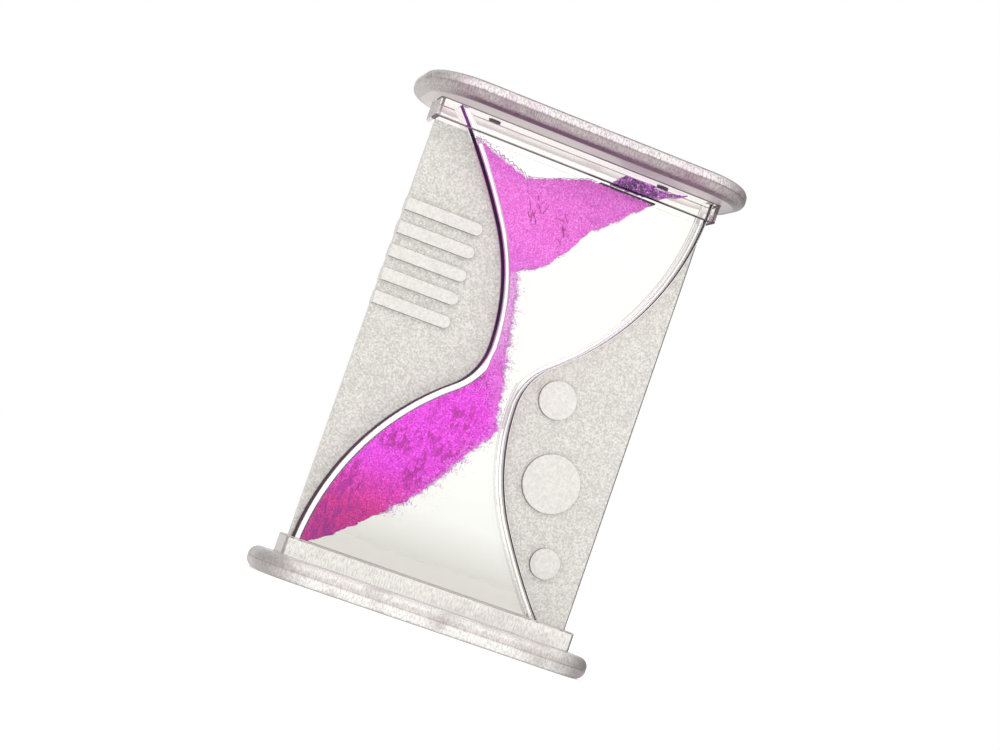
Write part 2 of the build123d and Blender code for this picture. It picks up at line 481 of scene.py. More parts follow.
@dataclass(frozen=True)
class DyedBeads(Finish):
    """Fine dyed plastic grit, poured.

    Each grain keeps its own shade under a sugary sparkle, and gives off a share of its colour as a
    painted glow for the light that comes through it. Streaks of a deeper shade show in patches
    where the heap slid. The tints follow the height, because the heap is redder where it lies thick
    on the wall.
    """

    tones: tuple[str, str, str]
    drift: str
    glow: float = 0.0
    tone_limits: Triple = (0.34, 0.48, 0.62)
    sugar_size: float = 0.4
    sugar_share: float = 0.6
    drift_size: Triple = (5.0, 9.0, 2.2)
    drift_turn: float = 0.6
    drift_start: float = 0.50
    drift_width: float = 0.10
    drift_share: float = 0.45
    patch_size: float = 7.0
    patch_limits: Pair = (0.42, 0.54)
    outside_patch: float = 0.1
    tints: Stops = ((0.0, "#FFFFFF"), (1.0, "#FFFFFF"))
    tint_span: Pair = (12.0, 70.0)

    def surface(self, tree: Tree, place: Socket) -> Node:
        """Adds the grains' tones, the tints by height and the streaks over them.

        Args:
            tree: the material's nodes.
            place: the object coordinates.

        Returns:
            The shader.
        """
        shade = add_node(tree, "Attribute", attribute_name=SHADE_LAYER)
        sugar = add_node(tree, "TexNoise", {
            "Vector": place, "Scale": per_metre(self.sugar_size), "Detail": 2.0})
        level = add_node(tree, "Mix", {0: self.sugar_share, 2: shade.outputs["Fac"], 3: sugar})
        tone = add_node(tree, "ValToRGB", {0: level}, tuple(zip(self.tone_limits, self.tones)))
        tinted = add_node(tree, "Mix", {
            0: 1.0, 6: tone, 7: banded(tree, place, "Z", self.tint_span, self.tints)},
            data_type="RGBA", blend_type="MULTIPLY")
        turned = add_node(tree, "Mapping", {
            "Vector": place, "Rotation": (0.0, self.drift_turn, 0.0),
            "Scale": tuple(per_metre(size) for size in self.drift_size)})
        drifts = add_node(tree, "TexNoise", {
            "Vector": turned, "Scale": 1.0, "Detail": 3.0, "Roughness": 0.6})
        where = add_node(tree, "MapRange", {
            "Value": drifts, "From Min": self.drift_start,
            "From Max": self.drift_start + self.drift_width, "To Max": self.drift_share})
        slides = add_node(tree, "TexNoise", {
            "Vector": place, "Scale": per_metre(self.patch_size), "Detail": 1.0})
        slid = add_node(tree, "MapRange", {
            "Value": slides, "From Min": self.patch_limits[0],
            "From Max": self.patch_limits[1], "To Min": self.outside_patch})
        streaks = add_node(tree, "Math", {0: where, 1: slid}, operation="MULTIPLY")
        colour = add_node(tree, "Mix", {0: streaks, 6: tinted.outputs[2], 7: self.drift},
                          data_type="RGBA").outputs[2]
        # The emission is a painted glow
        return add_node(tree, "BsdfPrincipled", {
            "Base Color": colour, "Roughness": 0.55, "IOR": 1.45, "Emission Color": colour,
            "Emission Strength": self.glow})


@dataclass(frozen=True)
class StillLiquid(Finish):
    """Clear mineral oil, still.

    The walls around it already bend the light, so the liquid only tints it: a trace of cream
    above, and greyer towards the bottom.
    """

    span: Pair
    tints: Stops

    def surface(self, tree: Tree, place: Socket) -> Node:
        """Adds the tint, which lets all light through in its own colour."""
        return add_node(tree, "BsdfTransparent", {
            "Color": banded(tree, place, "Z", self.span, self.tints)})


@dataclass(frozen=True)
class PaleSheet(Finish):
    """Matt paper on a light table: the eye gets a plain, nearly shadowless ground."""

    colour: str
    glow: float

    def surface(self, tree: Tree, place: Socket) -> Node:
        """Adds a matt shader that glows a little all over."""
        return add_node(tree, "BsdfPrincipled", {
            "Base Color": self.colour, "Roughness": 0.9, "Specular IOR Level": 0.2,
            "Emission Color": "#FFFFFF", "Emission Strength": self.glow})


@dataclass(frozen=True)
class Palette:
    """The finishes of the timer, with what each gives the eye."""

    # Clear panes with a very slight swim
    window: Finish = ClearMoulding("polished_styrene_window")
    # Against the oil the moulding's inside all but vanishes
    wet_wall: Finish = ClearMoulding("polished_styrene_wetted", ior=1.04, swim_depth=0.0)
    # A dark outline of painted shade, purple as the beads' painted reflection, ending at the wing's
    # front edge
    left_side: Finish = LookedAlong(
        "polished_styrene_left_side", span=(60.0, 140.0),
        shades=((0.0, "#46303E"), (0.3, "#1E0028"), (0.85, "#1E0028"), (0.88, "#7A1E8E")),
        clear_until=0.5, dark_from=0.7, dark_until=-2.2)
    # A dark outline of painted shade, brown below and grey above
    right_side: Finish = LookedAlong(
        "polished_styrene_right_side", shades=((0.3, "#3E2228"), (0.8, "#302C2A")),
        clear_until=0.5, dark_from=0.7, dark_until=0.4)
    # Nearly clear, with painted grey shade where it turns away, darker to the right
    top_collar: Finish = LookedAlong(
        "polished_styrene_collar", colour="#FEFCFC", ior=1.2, roughness=0.05, swim_depth=0.01,
        axis="X", span=(-42.0, 42.0), shades=((0.0, "#BEB8B5"), (0.5, "#A09A98"),
        (1.0, "#6E6866")), clear_until=0.65, dark_from=0.8, darkest=0.8)
    # White satin with a fine speckle and a strong painted glow, painted grey shade at its ends
    bottom_collar: Finish = FlangeEdge(
        "satin_styrene_collar", span=(6.0, 11.3), bands=((0.0, "#F4F1EB"), (1.0, "#F6F3ED")),
        end_shades=("#A8A2A0", "#5A5452"), caught="#C8C0BC", caught_share=0.4, straight=40.3,
        half_length=40.8, speckle=("#DCDCDC", "#FFFFFF"), backlight_glow=0.7, transmission=0.1,
        roughness=0.3)
    # A dark line of painted shade round the collar's mouth, violet as the painted reflection of the
    # beads behind it
    collar_rim: Finish = LookedAlong(
        "polished_styrene_collar_rim", ior=1.2, axis="X", span=(0.0, 40.0), dark_from=0.15,
        shades=((0.02, "#6A6462"), (0.10, "#2A0438"), (0.64, "#2A0438"), (0.72, "#524D4C")),
        dark_until=0.0)
    # A soft grey line of painted shade round the lower collar's mouth
    bottom_rim: Finish = LookedAlong(
        "polished_styrene_bottom_rim", ior=1.2, shades=((0.0, "#BEBAB4"), (1.0, "#BEBAB4")),
        darkest=0.8)
    # The outer plate's flat, clear and a little rosy
    plate_face: Finish = ClearMoulding(
        "polished_styrene_plate", colour="#EFE9ED", roughness=0.12, swim_size=4.0,
        passed_light="#ECE8EB")
    # The inner plate's flats, hazed by the cement between the plates
    plate_inside: Finish = ClearMoulding(
        "hazed_styrene_plate", colour="#DAD3D5", roughness=0.2, swim_size=4.0,
        passed_light="#ECE8EB")
    # A white bed under the body's end, with a strong painted glow
    pocket_floor: Finish = SparkTexture(
        "milky_cement_film", ("#F2EEED", "#F8F5F3", "#FEFCFA"), "#FFFFFF", 0.8)
    # Painted light and shade: a dark upper limit, a pale band and a grey one under it
    top_edge: Finish = FlangeEdge(
        "satin_styrene_top_edge", span=(140.0, 134.0), bands=(
            (0.0, "#746C6E"), (0.08, "#847C7D"), (0.14, "#F0E6E7"), (0.42, "#F4EAEC"),
            (0.50, "#A39999"), (0.58, "#B4A8A9")),
        end_shades=("#B0ABA8", "#6E6767"), caught="#E4CADC")
    # Painted grey shade with plum painted shadows towards the collar
    top_cap_edge: Finish = FlangeEdge(
        "satin_styrene_cap_edge", span=(137.0, 134.0), bands=(
            (0.0, "#A09494"), (0.2, "#B2A5A6"), (0.5, "#AC9DA1"), (0.66, "#9C8A92"),
            (0.78, "#64465A"), (1.0, "#64465A")),
        end_shades=("#B0ABA8", "#6E6767"), caught="#866078", caught_share=0.55, ragged=0.4)
    # Painted grey shade in front and behind, painted white light where it falls through the collar
    top_underside: Finish = FlangeEdge(
        "hazed_styrene_underside", span=(-20.0, 20.0), axis="Y", bands=(
            (0.0, "#AEA4A4"), (0.30, "#BCB2B1"), (0.34, "#F6F2F1"), (0.74, "#F4F0EF"),
            (0.88, "#C4BABA"), (1.0, "#AEA4A4")),
        end_shades=("#B8B2AF", "#948C8C"), straight=36.0, half_length=44.0, caught="#B090A8",
        speckle=("#EEEEEE", "#FFFFFF"), ragged=0.1, backlight_glow=0.5, transmission=0.1)
    # Nearly white, with a painted grey line of shade at the foot and a greyer painted band at the
    # bond
    bottom_edge: Finish = FlangeEdge(
        "satin_styrene_bottom_edge", span=(0.0, 6.0), bands=(
            (0.0, "#B8B4B0"), (0.05, "#C8C4C0"), (0.10, "#F4F2EE"), (0.40, "#FAF8F5"),
            (0.50, "#DCD6D1"), (0.64, "#DDD7D2"), (0.80, "#F4F1ED"), (1.0, "#F0EDE9")),
        caught="#A0948F", caught_share=0.6, speckle=("#DADADA", "#FFFFFF"))
    # Even, warm light grey with pin-point painted glints and a painted glow from behind
    frost: Finish = SparkTexture(
        "spark_textured_styrene", ("#B9B6AF", "#CAC7C1", "#DBD9D3"), "#F0EEEA", 0.48)
    # The same grain on the wing's narrow edge, in shadow
    frost_edge: Finish = SparkTexture(
        "spark_textured_styrene_edge", ("#4E4C4A", "#5E5C5A", "#706E6B"), "#8A8885", 0.1)
    # The wing's end in the collar, where cement fills the grain and makes it clear
    wetted_end: Finish = ClearMoulding(
        "cement_wetted_styrene", colour="#F8F2F4", ior=1.15, roughness=0.08, swim_size=2.0,
        swim_depth=0.05)
    # Smooth, whitish plates
    pad: Finish = SatinPad("satin_styrene", "#CAC7C2", "#D9D7D2")
    # A dark rim of painted shade round each raised pad
    pad_side: Finish = SatinPad("satin_styrene_side", "#7A7875", "#93918D")
    # Clear, creamier above and greyer at the bottom
    liquid: Finish = StillLiquid("clear_oil", (11.0, 110.0), (
        (0.0, "#E6E5E2"), (0.06, "#EAE9E6"), (0.18, "#F9F9F7"), (0.35, "#FDFDFB"),
        (1.0, "#FEFEFC")))
    # Milky stubs in the ports
    plug: Finish = PlugPolythene("milky_polythene", "#E4DEE2", "#F0ECEE", transmission=0.7)
    # Their tips are painted near black as shade, and show as short dark dashes
    plug_tip: Finish = PlugPolythene("shaded_tip_polythene", "#33223A", "#4B3A50", transmission=0.0)
    # Soft pink with a strong painted glow that lifts the shade under the collar, a trace cooler at
    # its foot
    upper_beads: Finish = DyedBeads(
        "pink_bead_grit", ("#C243B6", "#D265C9", "#E58BE0"), "#A0289A", 0.3,
        drift_start=0.58, drift_share=0.3, tint_span=(95.0, 104.0),
        tints=((0.0, "#F2EEFF"), (1.0, "#FFFFFF")))
    # Strong magenta with purple speckle and a painted glow, redder towards the bottom
    lower_beads: Finish = DyedBeads(
        "magenta_bead_grit", ("#BC0CBE", "#E432E2", "#FF76FC"), "#B400A4", 0.13,
        drift_size=(0.9, 3.0, 2.2), drift_turn=0.35, drift_start=0.48, drift_share=1.0,
        tints=((0.0, "#F48EC2"), (0.22, "#F67EB4"), (0.44, "#FFECFF"), (1.0, "#FFFFFF")))
    # Pale lilac, since the run is thin, and pinker at the neck
    stream_beads: Finish = DyedBeads(
        "thin_bead_grit", ("#D67CD8", "#E6A4E8", "#FCDCFC"), "#CC66CC",
        drift_size=(0.7, 2.0, 1.4), drift_start=0.48, drift_share=0.7, tint_span=(69.0, 86.0),
        tints=((0.0, "#F892F1"), (0.18, "#FAA8F5"), (0.42, "#FDDCFC"), (1.0, "#FFFFFF")))
    # Deep violet with pale flecks, seen through the collar: painted shade under the cap, with a
    # painted glow
    shadow_beads: Finish = DyedBeads(
        "violet_bead_grit", ("#66007C", "#B040C0", "#FCD0FC"), "#48005C", 0.25,
        drift_size=(1.4, 3.0, 1.4), drift_share=0.9)
    # Thin dark lines of painted shade in the cracks where the heap settled
    crease_beads: Finish = DyedBeads(
        "creased_bead_grit", ("#86105E", "#A01C7C", "#BC3C9C"), "#86105E")
    # Almost black: painted shade along the heap's crest, seen edge-on under the cap
    crest_shade_beads: Finish = DyedBeads(
        "crest_shaded_bead_grit", ("#1E0026", "#300A3A", "#4A1858"), "#14001A")
    # Dull mauve of painted shade on the heap's side against the wall
    bead_side: Finish = DyedBeads(
        "shaded_bead_grit", ("#6E4A6E", "#80607F", "#947292"), "#6A4468")
    # A pale mist of single grains, with a painted glow
    mist_beads: Finish = DyedBeads(
        "pale_bead_grit", ("#BC7CC4", "#D09CD8", "#E6C4EC"), "#B070BC", 0.15)
    # A thin lilac layer beside the free edge, with a painted glow
    veil_beads: Finish = DyedBeads(
        "lilac_bead_grit", ("#CC50C8", "#DA68D8", "#EA8CEA"), "#C44CC0", 0.16)
    # Whitish pink froth with a painted glow
    foam: Finish = DyedBeads(
        "beads_in_foam", ("#D4A8D2", "#E6C8E4", "#F8ECF8"), "#C8A0C8", 0.2)
    # A fine grey line over the froth
    foam_skin: Finish = DyedBeads(
        "skin_of_foam", ("#7C6C7C", "#928492", "#A89CA8"), "#7C6C7C")


def grid_faces(rows: int, columns: int, ring: bool = False) -> list[list[int]]:
    """The quads of a grid whose columns run round and close.

    Args:
        rows: the number of rows of points.
        columns: the number of points in a row.
        ring: whether the last row joins the first. If not, one face closes each end.

    Returns:
        Each face's point numbers: the quads row by row, then the two ends.
    """
    row, column = np.divmod(np.arange((rows if ring else rows - 1) * columns), columns)
    after, beside = (row + 1) % rows, (column + 1) % columns
    quads = np.stack([row * columns + column, after * columns + column,
                      after * columns + beside, row * columns + beside], axis=1).tolist()
    ends = [] if ring else [list(range(columns)), list(range((rows - 1) * columns, rows * columns))]
    return quads + ends


def stacked(loops: Array, levels: Array) -> Array:
    """Lifts each row of a grid of X and Y to its own Z."""
    heights = np.broadcast_to(levels[:, None], loops.shape[:2])
    return np.concatenate([loops, heights[..., None]], axis=-1)


def in_space(x: Array, y: Array | float, height: Array) -> Array:
    """Points from X, Y and heights over the middle of the body."""
    return np.stack(np.broadcast_arrays(x, y, height + BODY_MIDDLE), axis=-1)


def shade_points(mesh: Mesh, shades: Array) -> None:
    """Writes each point's shade of bead, from 0 to 1, for the bead finishes to read."""
    layer = mesh.attributes.new(SHADE_LAYER, "FLOAT", "POINT")
    layer.data.foreach_set("value", shades.astype(np.float32))


def closed_mesh(name: str, points: Array, faces: list, kinds: Array | None = None) -> Mesh:
    """Makes a closed mesh from points and faces, with doubles merged and faces outwards.

    Args:
        name: the mesh's name, and its piece's.
        points: the points in millimetres, in any shape that ends in 3.
        faces: the faces' point numbers.
        kinds: the number of each face's finish.

    Returns:
        The mesh.
    """
    mesh = bpy.data.meshes.new(name)
    mesh.from_pydata((points.reshape(-1, 3) * MILLIMETRE).tolist(), [], faces)
    if kinds is not None:
        mesh.polygons.foreach_set("material_index", np.asarray(kinds, np.int32))
    work = bmesh.new()
    work.from_mesh(mesh)
    bmesh.ops.remove_doubles(work, verts=work.verts, dist=MERGE_DISTANCE * MILLIMETRE)
    bmesh.ops.recalc_face_normals(work, faces=work.faces)
    work.to_mesh(mesh)
    work.free()
    return mesh


def place_piece(mesh: Mesh, finishes: list[Finish], node: str, sharp: float = 35.0,
                even: bool = True) -> Object:
    """Smooths a mesh, dresses it and puts it on the frame as a piece of the same name.

    Args:
        mesh: the piece's mesh.
        finishes: its finishes, in the order of their numbers.
        node: the solid that it stands for.
        sharp: the least angle of a crisp edge, in degrees.
        even: whether flats keep even shading beside their rounded edges.

    Returns:
        The object.
    """
    mesh.polygons.foreach_set("use_smooth", np.ones(len(mesh.polygons), bool))
    mesh.set_sharp_from_angle(angle=math.radians(sharp))
    for finish in finishes:
        mesh.materials.append(finish.material())
    piece = bpy.data.objects.new(mesh.name, mesh)
    bpy.context.scene.collection.objects.link(piece)
    if even:
        piece.modifiers.new("even_flats", "WEIGHTED_NORMAL").keep_sharp = True
    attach(piece, "root")
    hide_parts(node)
    log.info("%s: %d points, %d faces", mesh.name, len(mesh.vertices), len(mesh.polygons))
    return piece


def tangent_arc(start: Array, heading: Array, end: Array, count: int,
                offset: float = 0.0) -> tuple[Array, Array]:
    """Points of the arc that leaves one point along a heading and reaches another.

    The centre lies left of the start by the signed radius, chord squared over twice the chord's
    leftward part, and the arc turns through twice the angle from the heading to the chord.

    Args:
        start: the first point.
        heading: the unit direction there.
        end: the last point.
        count: how many points.
        offset: how far left of the arc the points lie.

    Returns:
        The points and the heading at the end.
    """
    left = np.array([-heading[1], heading[0]])
    chord = end - start
    radius = chord @ chord / (2 * chord @ left)
    turn = 2 * math.atan2(chord @ left, chord @ heading)
    angles = np.linspace(0, turn, count)
    spoke = start - (start + left * radius)
    spoke = spoke * (1 - offset / radius)
    cos, sin = np.cos(angles), np.sin(angles)
    points = np.stack([cos * spoke[0] - sin * spoke[1], sin * spoke[0] + cos * spoke[1]], axis=1)
    ahead = np.array([math.cos(turn) * heading[0] - math.sin(turn) * heading[1],
                      math.sin(turn) * heading[0] + math.cos(turn) * heading[1]])
    return start + left * radius + points, ahead


def section_loops(low: Array, high: Array, depth: Array, corner: float, steps: int = 5) -> Array:
    """Rounded rectangles, one for each row, that run from low to high and to each side in depth.

    Each corner is a quarter circle about a centre that lies the corner's radius inside both sides.

    Args:
        low: the lower limit of each row.
        high: the upper limit of each row.
        depth: half the depth of each row.
        corner: the corners' radius, cut back where a row is too narrow for it.
        steps: how many points a corner has.

    Returns:
        Points as rows by columns by two.
    """
    narrowest = np.minimum(high - low, 2 * depth)
    radius = np.minimum(corner, FULLEST_CORNER * narrowest)[:, None]
    angles = np.linspace(0, math.pi / 2, steps)[None, :]
    quarters = []
    for turn, (across, away) in enumerate(((1, 1), (-1, 1), (-1, -1), (1, -1))):
        side = high if across > 0 else low
        centre_across = side[:, None] - across * radius
        centre_away = away * (depth[:, None] - radius)
        angle = angles + turn * math.pi / 2
        quarters.append(np.stack([centre_across + radius * np.cos(angle),
                                  centre_away + radius * np.sin(angle)], axis=-1))
    return np.concatenate(quarters, axis=1)


def rounded_rectangle(size: Pair, grow: float, corner: float, steps: int = 14) -> Array:
    """A rounded rectangle about the origin, anticlockwise from the right.

    Args:
        size: its length and depth.
        grow: how far outside that size it runs.
        corner: its corners' radius.
        steps: how many points a corner has.

    Returns:
        Points by two.
    """
    half, depth = (np.array([side / 2 + grow]) for side in size)
    return section_loops(-half, half, depth, corner, steps)[0]


def value_noise(along: Array, knot: float, height: float, seed: int) -> Array:
    """Uneven heights along a line: random values at even knots, joined by straight slopes.

    Args:
        along: places on the line, in millimetres.
        knot: the knots' spacing.
        height: the greatest height either way.
        seed: the seed of the random values.

    Returns:
        A height for each place.
    """
    rng = np.random.default_rng(seed)
    first, last = along.min() - knot, along.max() + knot
    knots = np.arange(first, last + knot, knot)
    return np.interp(along, knots, rng.uniform(-height, height, len(knots)))


@dataclass
class ChamberWall:
    """The S-shaped left wall of the chamber. The right wall is its half turn.

    Heights are from the middle of the body. The curve is two tangent arcs up from the neck and
    two down from it. The chamber side has a straight flank and a curved one below the neck, which
    meet in the corner where the two mould cores met.
    """

    half_width: float = 40.0
    half_height: float = 64.0
    wall: float = 1.6
    neck_shares: Pair = (-0.1525, 0.1016)
    shoulder_shares: Pair = (-0.3825, 0.5953)
    mouth_shares: Pair = (-0.8825, 1.0)
    hip_shares: Pair = (-0.310, -0.1039)
    foot_shares: Pair = (-0.983, -1.0)
    lip_shares: Pair = (-0.129, 0.001)
    arc_points: int = 60

    def at(self, shares: Pair) -> Array:
        """A point from shares of half the width and half the height."""
        return np.array([shares[0] * self.half_width, shares[1] * self.half_height])

    def curve(self, inset: float) -> Array:
        """The wall's line from the foot to the mouth, at a depth inside its wing side.

        Args:
            inset: how far towards the chamber the line lies.

        Returns:
            Points in order of height, as X and height.
        """
        neck, shoulder, hip = map(self.at, (self.neck_shares, self.shoulder_shares,
                                            self.hip_shares))
        count = self.arc_points
        up, heading = tangent_arc(neck, np.array([0.0, 1.0]), shoulder, count, -inset)
        flare, _ = tangent_arc(shoulder, heading, self.at(self.mouth_shares), count, -inset)
        down, heading = tangent_arc(neck, np.array([0.0, -1.0]), hip, count, inset)
        sweep, _ = tangent_arc(hip, heading, self.at(self.foot_shares), count, inset)
        if inset:
            lip = self.at(self.lip_shares) + np.array([inset - self.wall, 0.0])
            flank, _ = tangent_arc(down[-1], -heading, lip, count)
            down = np.vstack([down[:1], flank[::-1]])
        return np.vstack([sweep[:0:-1], down[::-1], up[1:], flare[1:]])

    def left(self, height: Array, inset: float = 0.0) -> Array:
        """X of the left wall's line at each height."""
        line = self.curve(inset)
        return np.interp(height, line[:, 1], line[:, 0])

    def right(self, height: Array, inset: float = 0.0) -> Array:
        """X of the right wall's line at each height: the half turn of the left one."""
        return -self.left(-height, inset)

    def heights(self, rows: int, more: tuple[float, ...] = ()) -> Array:
        """Even heights over the body, with the corners of both walls among them.

        Args:
            rows: how many even heights.
            more: further heights.

        Returns:
            The heights in order.
        """
        lip = self.at(self.lip_shares)[1]
        neck = self.at(self.neck_shares)[1]
        even = np.linspace(-self.half_height, self.half_height, rows)
        return np.unique(np.concatenate([even, [lip, -lip, neck, -neck], more]))


@dataclass
class Chamber:
    """The windowed chamber of the moulded body, with rounded rims."""

    palette: Palette
    wall: ChamberWall
    depth: float = 12.8
    window: float = 1.5
    rim: float = 0.45
    inner_corner: float = 0.3
    rows: int = 230

    def build(self) -> Object:
        """Builds the shell: outer loops up the body, then inner loops down it, closed in both.

        Returns:
            The piece.
        """
        wall, inset = self.wall, self.wall.wall
        heights = wall.heights(self.rows)
        thick = np.full(len(heights), self.depth / 2)
        outer = section_loops(wall.left(heights), wall.right(heights), thick, self.rim)
        inner = section_loops(wall.left(heights, inset), wall.right(heights, inset),
                              thick - self.window, self.inner_corner)
        points = stacked(np.concatenate([outer, inner[::-1]]),
                         np.concatenate([heights, heights[::-1]]) + BODY_MIDDLE)
        rows, columns = points.shape[:2]
        row, column = np.divmod(np.arange(rows * columns), columns)
        pane, left, right, wet = range(4)
        side = columns // 4
        is_side = ((column // side) % 2 == 1) | (column % side != side - 1)
        on_right = (column >= 3 * side) | (column < side - 1)
        outside = np.where(is_side, np.where(on_right, right, left), pane)
        mesh = closed_mesh("chamber_shell", points, grid_faces(rows, columns, ring=True),
                           np.where(row >= rows // 2, wet, outside))
        look = self.palette
        finishes = [look.window, look.left_side, look.right_side, look.wet_wall]
        return place_piece(mesh, finishes, "body", sharp=40)


@dataclass
class Wing:
    """One thin spark-textured wing beside the chamber, which it runs into a little."""

    palette: Palette
    wall: ChamberWall
    flank: Flank
    thickness: float = 2.5
    edge: float = 0.4
    bite: float = 0.2
    wetted: float = 5.3
    rows: int = 200

    def build(self) -> Object:
        """Builds the wing: rounded rectangles from its edge to the wall, stacked up the body.

        Returns:
            The piece.
        """
        rim = self.wall.half_height - self.wetted
        heights = self.wall.heights(self.rows, (-rim, rim))
        half = np.full(len(heights), self.thickness / 2)
        outside = np.full(len(heights), self.flank.value * self.wall.half_width)
        if self.flank is Flank.LEFT:
            low, high = outside, self.wall.left(heights) + self.bite
        else:
            low, high = self.wall.right(heights) - self.bite, outside
        points = stacked(section_loops(low, high, half, self.edge), heights + BODY_MIDDLE)
        rows, columns = points.shape[:2]
        row, column = np.divmod(np.arange((rows - 1) * columns), columns)
        face, clear, dark = range(3)
        corner = columns // 4
        turns = (column < corner - 1) | (column >= columns - corner)
        in_collar = np.abs(heights[row] + heights[row + 1]) / 2 > rim
        shown = np.where(turns & (self.flank is Flank.RIGHT), dark, face)
        kinds = np.append(np.where(in_collar, clear, shown), [clear, clear])
        mesh = closed_mesh(f"{self.flank.name.lower()}_wing", points, grid_faces(rows, columns),
                           kinds)
        look = self.palette
        finishes = [look.frost, look.wetted_end, look.frost_edge]
        return place_piece(mesh, finishes, "body")


@dataclass
class Pads:
    """The raised bars of the left wing and the raised discs of the right one, on both faces."""

    palette: Palette
    wing_edge: float = 40.0
    wing_half: float = 1.25
    rise: float = 1.2
    bevel: float = 0.3
    bevel_points: int = 5
    sink: float = 0.3
    foot: float = 0.02
    bar_count: int = 5
    bar_height: float = 3.6
    bar_length: float = 22.0
    bar_pitch: float = 6.6
    lowest_bar: float = 8.3
    bar_points: int = 17
    disc_diameters: tuple[float, ...] = (10.8, 16.4, 8.6)
    disc_gap: float = 9.1
    disc_lean: float = 15.0
    first_disc: Pair = (17.0, -0.9)
    disc_points: int = 64

    def profile(self) -> tuple[Array, Array]:
        """The pads' edge: below the wing's face, just over it, then round over the bevel.

        Returns:
            The insets and the heights over the middle plane.
        """
        top = self.wing_half + self.rise
        angles = np.linspace(0, math.pi / 2, self.bevel_points)
        insets = self.bevel * (1 - np.cos(angles))
        heights = top - self.bevel * (1 - np.sin(angles))
        return (np.append([0.0, 0.0], insets),
                np.append([self.wing_half - self.sink, self.wing_half + self.foot], heights))

    def bar(self, inset: float, level: float) -> Array:
        """A bar's outline: square at the wing's edge, half round inside.

        Args:
            inset: how far inside the full outline the points lie.
            level: the height of the bar's own axis.

        Returns:
            Points as X and height.
        """
        radius = self.bar_height / 2
        centre = -self.wing_edge + self.bar_length - radius
        angles = np.linspace(-math.pi / 2, math.pi / 2, self.bar_points)
        nose = np.stack([centre + (radius - inset) * np.cos(angles),
                         (radius - inset) * np.sin(angles)], axis=1)
        edge = -self.wing_edge + inset
        outline = np.vstack([nose, [[edge, radius - inset], [edge, inset - radius]]])
        return outline + np.array([0.0, level])

    def pad(self, name: str, outlines: Array, face: Face) -> Object:
        """Carries the edge's profile round an outline: a side of painted dark shade that rims a pale
        top.

        Args:
            name: the pad's name.
            outlines: the outline at each inset of the profile, as rows by columns by two.
            face: the face of the timer that the pad is on.

        Returns:
            The piece.
        """
        rows, columns = outlines.shape[:2]
        points = stacked(outlines, self.profile()[1] * face.value)[..., [0, 2, 1]]
        row = np.arange((rows - 1) * columns) // columns
        at_edge = np.tile(outlines[0, :, 0] < self.foot - self.wing_edge, rows - 1)
        at_edge = at_edge & np.roll(at_edge, -1)
        pale, dark = range(2)
        kinds = np.append(np.where((row < rows - 3) & ~at_edge, dark, pale), [pale, pale])
        mesh = closed_mesh(name, points, grid_faces(rows, columns), kinds)
        return place_piece(mesh, [self.palette.pad, self.palette.pad_side],
                           "body")

    def discs(self) -> list[tuple[Array, float]]:
        """The discs, down a leaning line with even gaps.

        Returns:
            Their centres and radii.
        """
        lean = math.radians(self.disc_lean)
        down = np.array([math.sin(lean), -math.cos(lean)])
        centre, last, discs = np.array(self.first_disc), 0.0, []
        for diameter in self.disc_diameters:
            if last:
                centre = centre + down * (last + self.disc_gap + diameter / 2)
            last = diameter / 2
            discs.append((centre, last))
        return discs

    def build(self) -> list[Object]:
        """Builds the bars and the discs of each face.

        Returns:
            The pieces.
        """
        pieces = []
        insets = self.profile()[0]
        angles = np.linspace(0, 2 * math.pi, self.disc_points, endpoint=False)
        for face in Face:
            side = face.name.lower()
            for row in range(self.bar_count):
                level = BODY_MIDDLE + self.lowest_bar + row * self.bar_pitch
                outlines = np.stack([self.bar(inset, level) for inset in insets])
                pieces.append(self.pad(f"{side}_bar_{row + 1}", outlines, face))
            for place, (centre, radius) in enumerate(self.discs()):
                reach = (radius - insets)[:, None]
                outlines = np.stack([centre[0] + reach * np.cos(angles),
                                     BODY_MIDDLE + centre[1] + reach * np.sin(angles)], axis=-1)
                pieces.append(self.pad(f"{side}_disc_{place + 1}", outlines, face))
        return pieces


